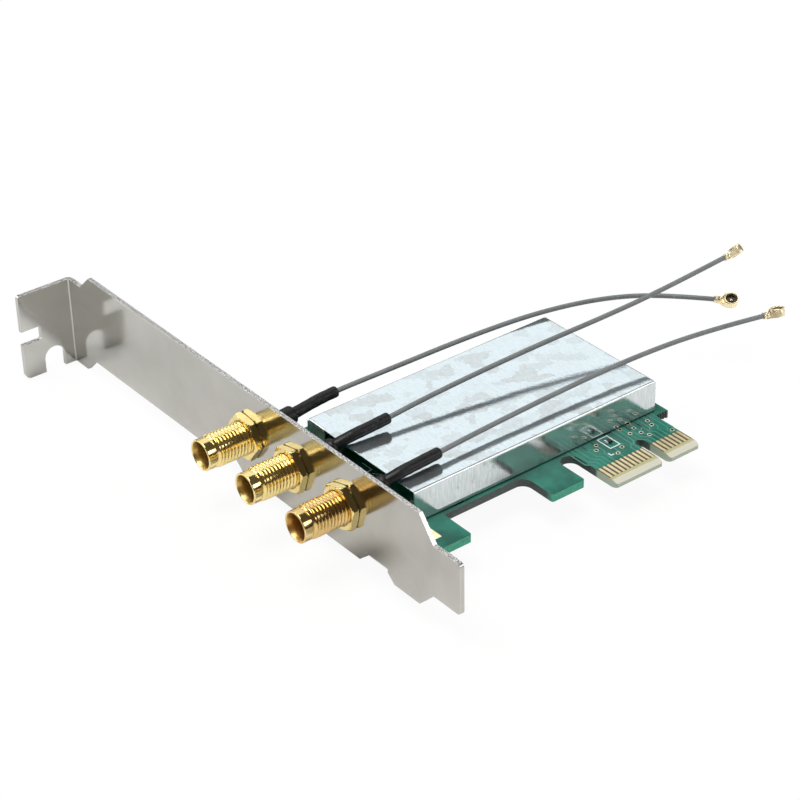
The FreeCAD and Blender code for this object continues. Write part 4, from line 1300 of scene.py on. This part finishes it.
@dataclass(frozen=True)
class BoardMarks:
    """Marks on the board's component face, in the bracket's frame."""

    face_z: float = 3.94
    vias: tuple[tuple[float, float], ...] = (
        (97.05, 50.66), (98.28, 49.57), (100.41, 53.86), (101.40, 51.97), (95.23, 57.38), (95.91, 57.51),
        (95.53, 59.98), (97.22, 59.79), (98.13, 57.99), (99.10, 59.80), (100.59, 60.46), (97.00, 63.36),
        (98.44, 63.03), (102.07, 64.73))
    via_rows: tuple[tuple[float, float], ...] = (
        (-0.01, 0.43), (0.0245, 0.43), (0.035, 0.39), (0.035, 0.31), (0.014, 0.29), (-0.01, 0.29))
    well_rows: tuple[tuple[float, float], ...] = ((-0.01, 0.287), (0.0315, 0.287))
    via_sides: int = 20
    sunk: float = 0.01
    mitre: float = 0.5
    trace_w: float = 0.28
    trace_h: float = 0.022
    trace_tuck: float = 0.02
    stub_least: float = 0.1
    print_w: float = 0.25
    print_h: float = 0.030
    chip_box: tuple[float, float, float, float] = (95.95, 99.45, 51.95, 54.25)
    mask_end_x: float = 102.90
    wall_x: float = 95.45
    board_t: float = 1.57
    finger_x0: float = 102.95
    finger_w: float = 0.57
    finger_slope: float = 0.03
    finger_h: float = 0.05
    finger_ys: tuple[float, ...] = tuple(46.0 + i for i in range(11)) + tuple(59.0 + i for i in range(7))
    finger_ends: tuple[tuple[float, float], ...] = ((0.0, 0.55), (0.12, 0.86), (0.3, 1.0), (3.25, 1.0), (3.35, 0.9))
    jogs: tuple[Point, ...] = (
        (46.0, 1.3, -1.1), (47.0, 1.7, -1.1), (48.0, 2.1, -1.1), (49.0, 2.5, -0.75), (50.0, 3.0, 0.55),
        (52.0, 1.0, 0.5), (55.0, 1.4, 0.9), (56.0, 1.8, 0.9), (59.0, 1.2, -1.2), (60.0, 1.6, -1.2),
        (61.0, 1.9, -1.0), (62.0, 2.4, -0.8), (63.0, 2.8, 0.6), (64.0, 1.4, 0.7), (65.0, 1.0, 0.5))
    stubs: tuple[tuple[int, float, float], ...] = (
        (0, -1.5, -0.2), (1, -2.7, -1.2), (2, -0.9, 0.9), (8, -2.6, 0.9), (9, -3.5, 1.3), (10, -4.9, 1.6))
    open_prints: tuple[tuple[tuple[float, float], ...], ...] = (
        ((100.30, 50.55), (101.15, 50.55), (101.15, 51.25)),
        ((74.6, 12.9), (77.4, 12.9), (77.4, 14.8), (74.6, 14.8)), ((78.3, 14.0), (79.0, 14.7), (79.6, 14.0)))


@dataclass(frozen=True)
class BoardFace:
    """Traces, plated holes, edge fingers and printed lines on the board."""

    marks: BoardMarks

    def strip(self, shape: Shape, points: Sequence[tuple[float, float]], width: float, height: float,
              closed: bool = False) -> None:
        """Adds a flat raised line through points on the face, mitred at its corners.

        Args:
            shape: the mesh being gathered.
            points: X and Y of each corner.
            width: the line's width.
            height: how far it stands proud of the face.
            closed: the last point joins the first.
        """
        m = self.marks
        line = np.array(points, dtype=float)
        step = np.roll(line, -1, axis=0) - line
        if not closed:
            step[-1] = step[-2]
        ahead = step / np.linalg.norm(step, axis=1, keepdims=True)
        behind = np.roll(ahead, 1, axis=0)
        if not closed:
            behind[0] = ahead[0]
        mean = ahead + behind
        mean /= np.linalg.norm(mean, axis=1, keepdims=True)
        reach = width / 2 / np.maximum(m.mitre, (mean * ahead).sum(axis=1))
        across = np.stack([-mean[:, 1], mean[:, 0]], axis=1) * reach[:, None]
        sides = [np.insert(flat, 2, z, axis=1) for flat, z in (
            (line - across, m.face_z - m.sunk), (line - across, m.face_z + height),
            (line + across, m.face_z + height), (line + across, m.face_z - m.sunk))]
        shape.grid(placed(np.stack(sides, axis=1)), wrap_u=closed, wrap_v=True, caps=not closed)

    def fingers(self, finish: bpy.types.Material) -> bpy.types.Object:
        """Makes the gold fingers on both faces: pads with sloped flanks and a rounded inner end.

        Args:
            finish: the plating's material.

        Returns:
            The fingers object.
        """
        m = self.marks
        shape = Shape()
        half, slope = m.finger_w / 2, m.finger_slope
        ends = [(m.finger_x0 + way, half * share) for way, share in m.finger_ends]
        for base, lift in ((m.face_z, m.finger_h), (m.face_z - m.board_t, -m.finger_h)):
            for y in m.finger_ys:
                grid = [[(x, y - w, base), (x, y - w + slope, base + lift), (x, y + w - slope, base + lift),
                         (x, y + w, base)] for x, w in ends]
                shape.grid(placed(np.array(grid)), wrap_v=True, caps=True)
        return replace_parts(shape.build("edge_fingers", [finish], "gold"), "edge_contacts")

    def traces(self, finish: bpy.types.Material) -> bpy.types.Object:
        """Makes the copper lines that show through the mask, from the fingers inwards.

        Each finger's line runs straight, jogs at 45 degrees and runs on to the shield's wall;
        jogs gives the finger's Y, the jog's way from the mask's end, and its shift along Y. A
        stub leaves a hole by its number in vias and ends at a shift along X and Y.

        Args:
            finish: the masked copper's material.

        Returns:
            The traces object.
        """
        m = self.marks
        shape = Shape()
        for y, run, jog in m.jogs:
            x = m.mask_end_x - run
            points = [(m.mask_end_x - m.trace_tuck, y), (x, y), (x - abs(jog), y + jog), (m.wall_x, y + jog)]
            self.strip(shape, points, m.trace_w, m.trace_h)
        for hole, dx, dy in m.stubs:
            x, y = m.vias[hole]
            knee = x - abs(dy)
            end = min(knee - m.stub_least, x + dx)
            self.strip(shape, [(x, y), (knee, y + dy), (end, y + dy)], m.trace_w, m.trace_h)
        return shape.build("board_traces", [finish], "board")

    def holes(self, ring: bpy.types.Material, dark: bpy.types.Material) -> bpy.types.Object:
        """Makes the plated holes: a low turned gold ring with a near-black well in it, painted shade for the hole's
        depth.

        Args:
            ring: the plating's material.
            dark: the well's material, near black as painted shade.

        Returns:
            The holes object.
        """
        m = self.marks
        shape = Shape()
        for profile, index in ((m.via_rows, 0), (m.well_rows, 1)):
            for x, y in m.vias:
                grid = turned(np.array(profile) + (m.face_z, 0.0), m.via_sides, x, y)
                shape.grid(placed(grid), wrap_u=index == 0, wrap_v=True, finish_id=index, caps=index == 1)
        return shape.build("board_plated_holes", [ring, dark], "gold")

    def prints(self, finish: bpy.types.Material) -> bpy.types.Object:
        """Makes the printed lines: the box round the chip, a corner mark and two marks in the mouth.

        Args:
            finish: the print's material.

        Returns:
            The print object.
        """
        m = self.marks
        x0, x1, y0, y1 = m.chip_box
        shape = Shape()
        self.strip(shape, [(x0, y0), (x1, y0), (x1, y1), (x0, y1)], m.print_w, m.print_h, closed=True)
        for line in m.open_prints:
            self.strip(shape, line, m.print_w, m.print_h)
        return shape.build("board_print_lines", [finish], "board")


@dataclass(frozen=True)
class SoftBox:
    """One rectangular studio light, placed by its bearing from the card."""

    name: str
    bearing_deg: float
    height_deg: float
    distance: float
    wide: float
    tall: float
    watts: float
    colour: Colour = (1.0, 1.0, 1.0)

    def build(self) -> bpy.types.Object:
        """Adds the light, turned towards the card.

        Returns:
            The light object.
        """
        data = bpy.data.lights.new(self.name, "AREA")
        data.shape = "RECTANGLE"
        data.size = self.wide
        data.size_y = self.tall
        data.energy = self.watts
        data.color = self.colour
        light = linked(self.name, data)
        bearing, height = math.radians(self.bearing_deg), math.radians(self.height_deg)
        way = Vector((math.cos(height) * math.cos(bearing), math.cos(height) * math.sin(bearing), math.sin(height)))
        light.location = way * self.distance
        light.rotation_euler = way.to_track_quat("Z", "Y").to_euler()
        return light


@dataclass(frozen=True)
class Studio:
    """Soft lights, dim room and pale floor."""

    floor_half: float = 3.0
    floor_z: float = -0.0001
    room: Colour = (0.100, 0.080, 0.062)
    boxes: tuple[SoftBox, ...] = (
        SoftBox("back_left_box", 134.0, 41.0, 1.3, 1.0, 0.9, 3.2, (0.95, 0.985, 1.0)),
        SoftBox("low_front_box", 212.0, 12.0, 1.3, 0.50, 0.32, 1.0),
        SoftBox("low_right_box", 58.0, 12.0, 1.3, 0.60, 0.35, 0.7),
        SoftBox("right_box", 36.0, 27.0, 1.2, 0.56, 0.50, 3.0),
        SoftBox("front_left_box", 217.0, 40.0, 1.2, 0.8, 0.7, 4.4),
        SoftBox("top_box", 260.0, 78.0, 1.4, 0.8, 0.8, 17.0))

    def build(self) -> None:
        """Adds the floor, the lights and the room's own light."""
        corners = [(x * self.floor_half, y * self.floor_half, self.floor_z)
                   for x, y in ((-1, -1), (1, -1), (1, 1), (-1, 1))]
        mesh = bpy.data.meshes.new("floor")
        mesh.from_pydata(corners, [], [(0, 1, 2, 3)])
        mesh.materials.append(FloorFinish().material())
        linked("floor", mesh)
        for box in self.boxes:
            box.build()
        world = bpy.data.worlds.new("room")
        world.use_nodes = True
        world.node_tree.nodes["Background"].inputs["Color"].default_value = (*self.room, 1.0)
        bpy.context.scene.world = world
        bpy.context.scene.view_settings.view_transform = "Standard"


def main() -> None:
    """Builds the camera, the leads and then every other piece, and reports each step."""
    logging.basicConfig(level=logging.INFO, format="%(name)s: %(message)s")
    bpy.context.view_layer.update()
    CameraView().build()
    finishes = Finishes()
    finishes.dress_solids()
    LOG.info("finishes given to %d solids", len(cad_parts))
    lead_sizes, plug_sizes, jack_sizes = LeadSizes(), PlugSizes(), JackSizes()
    for route in ROUTES:
        lead = AerialLead(route, lead_sizes)
        lead.build(finishes["lead"])
        plug = LeadPlug(lead, plug_sizes).build(finishes["plug"])
        lead.sleeve(finishes["sleeve"])
    LOG.info("leads, sleeves and plugs built")
    nuts = Shape()
    for number in (1, 2, 3):
        jack = AerialJack(number, jack_sizes)
        jack.body([finishes[key] for key in JACK_FINISHES[number - 1]])
        nuts.grid(placed(jack.nut_grid()), wrap_u=True, wrap_v=True)
    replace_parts(nuts.build("hex_nuts", [finishes["gold"]], "gold", sharp_deg=24.0), "jack_nuts")
    LOG.info("jacks and nuts built")
    face = BoardFace(BoardMarks())
    face.fingers(finishes["finger"])
    face.traces(finishes["trace"])
    face.holes(finishes["ring"], finishes["hole"])
    face.prints(finishes["print"])
    for chips, body in zip(CHIPS, (finishes["capacitor"], finishes["resistor"])):
        ChipParts(chips).build(body, finishes["cap"])
    LOG.info("board marks and chip parts built")
    Studio().build()


if __name__ == "__main__":
    main()
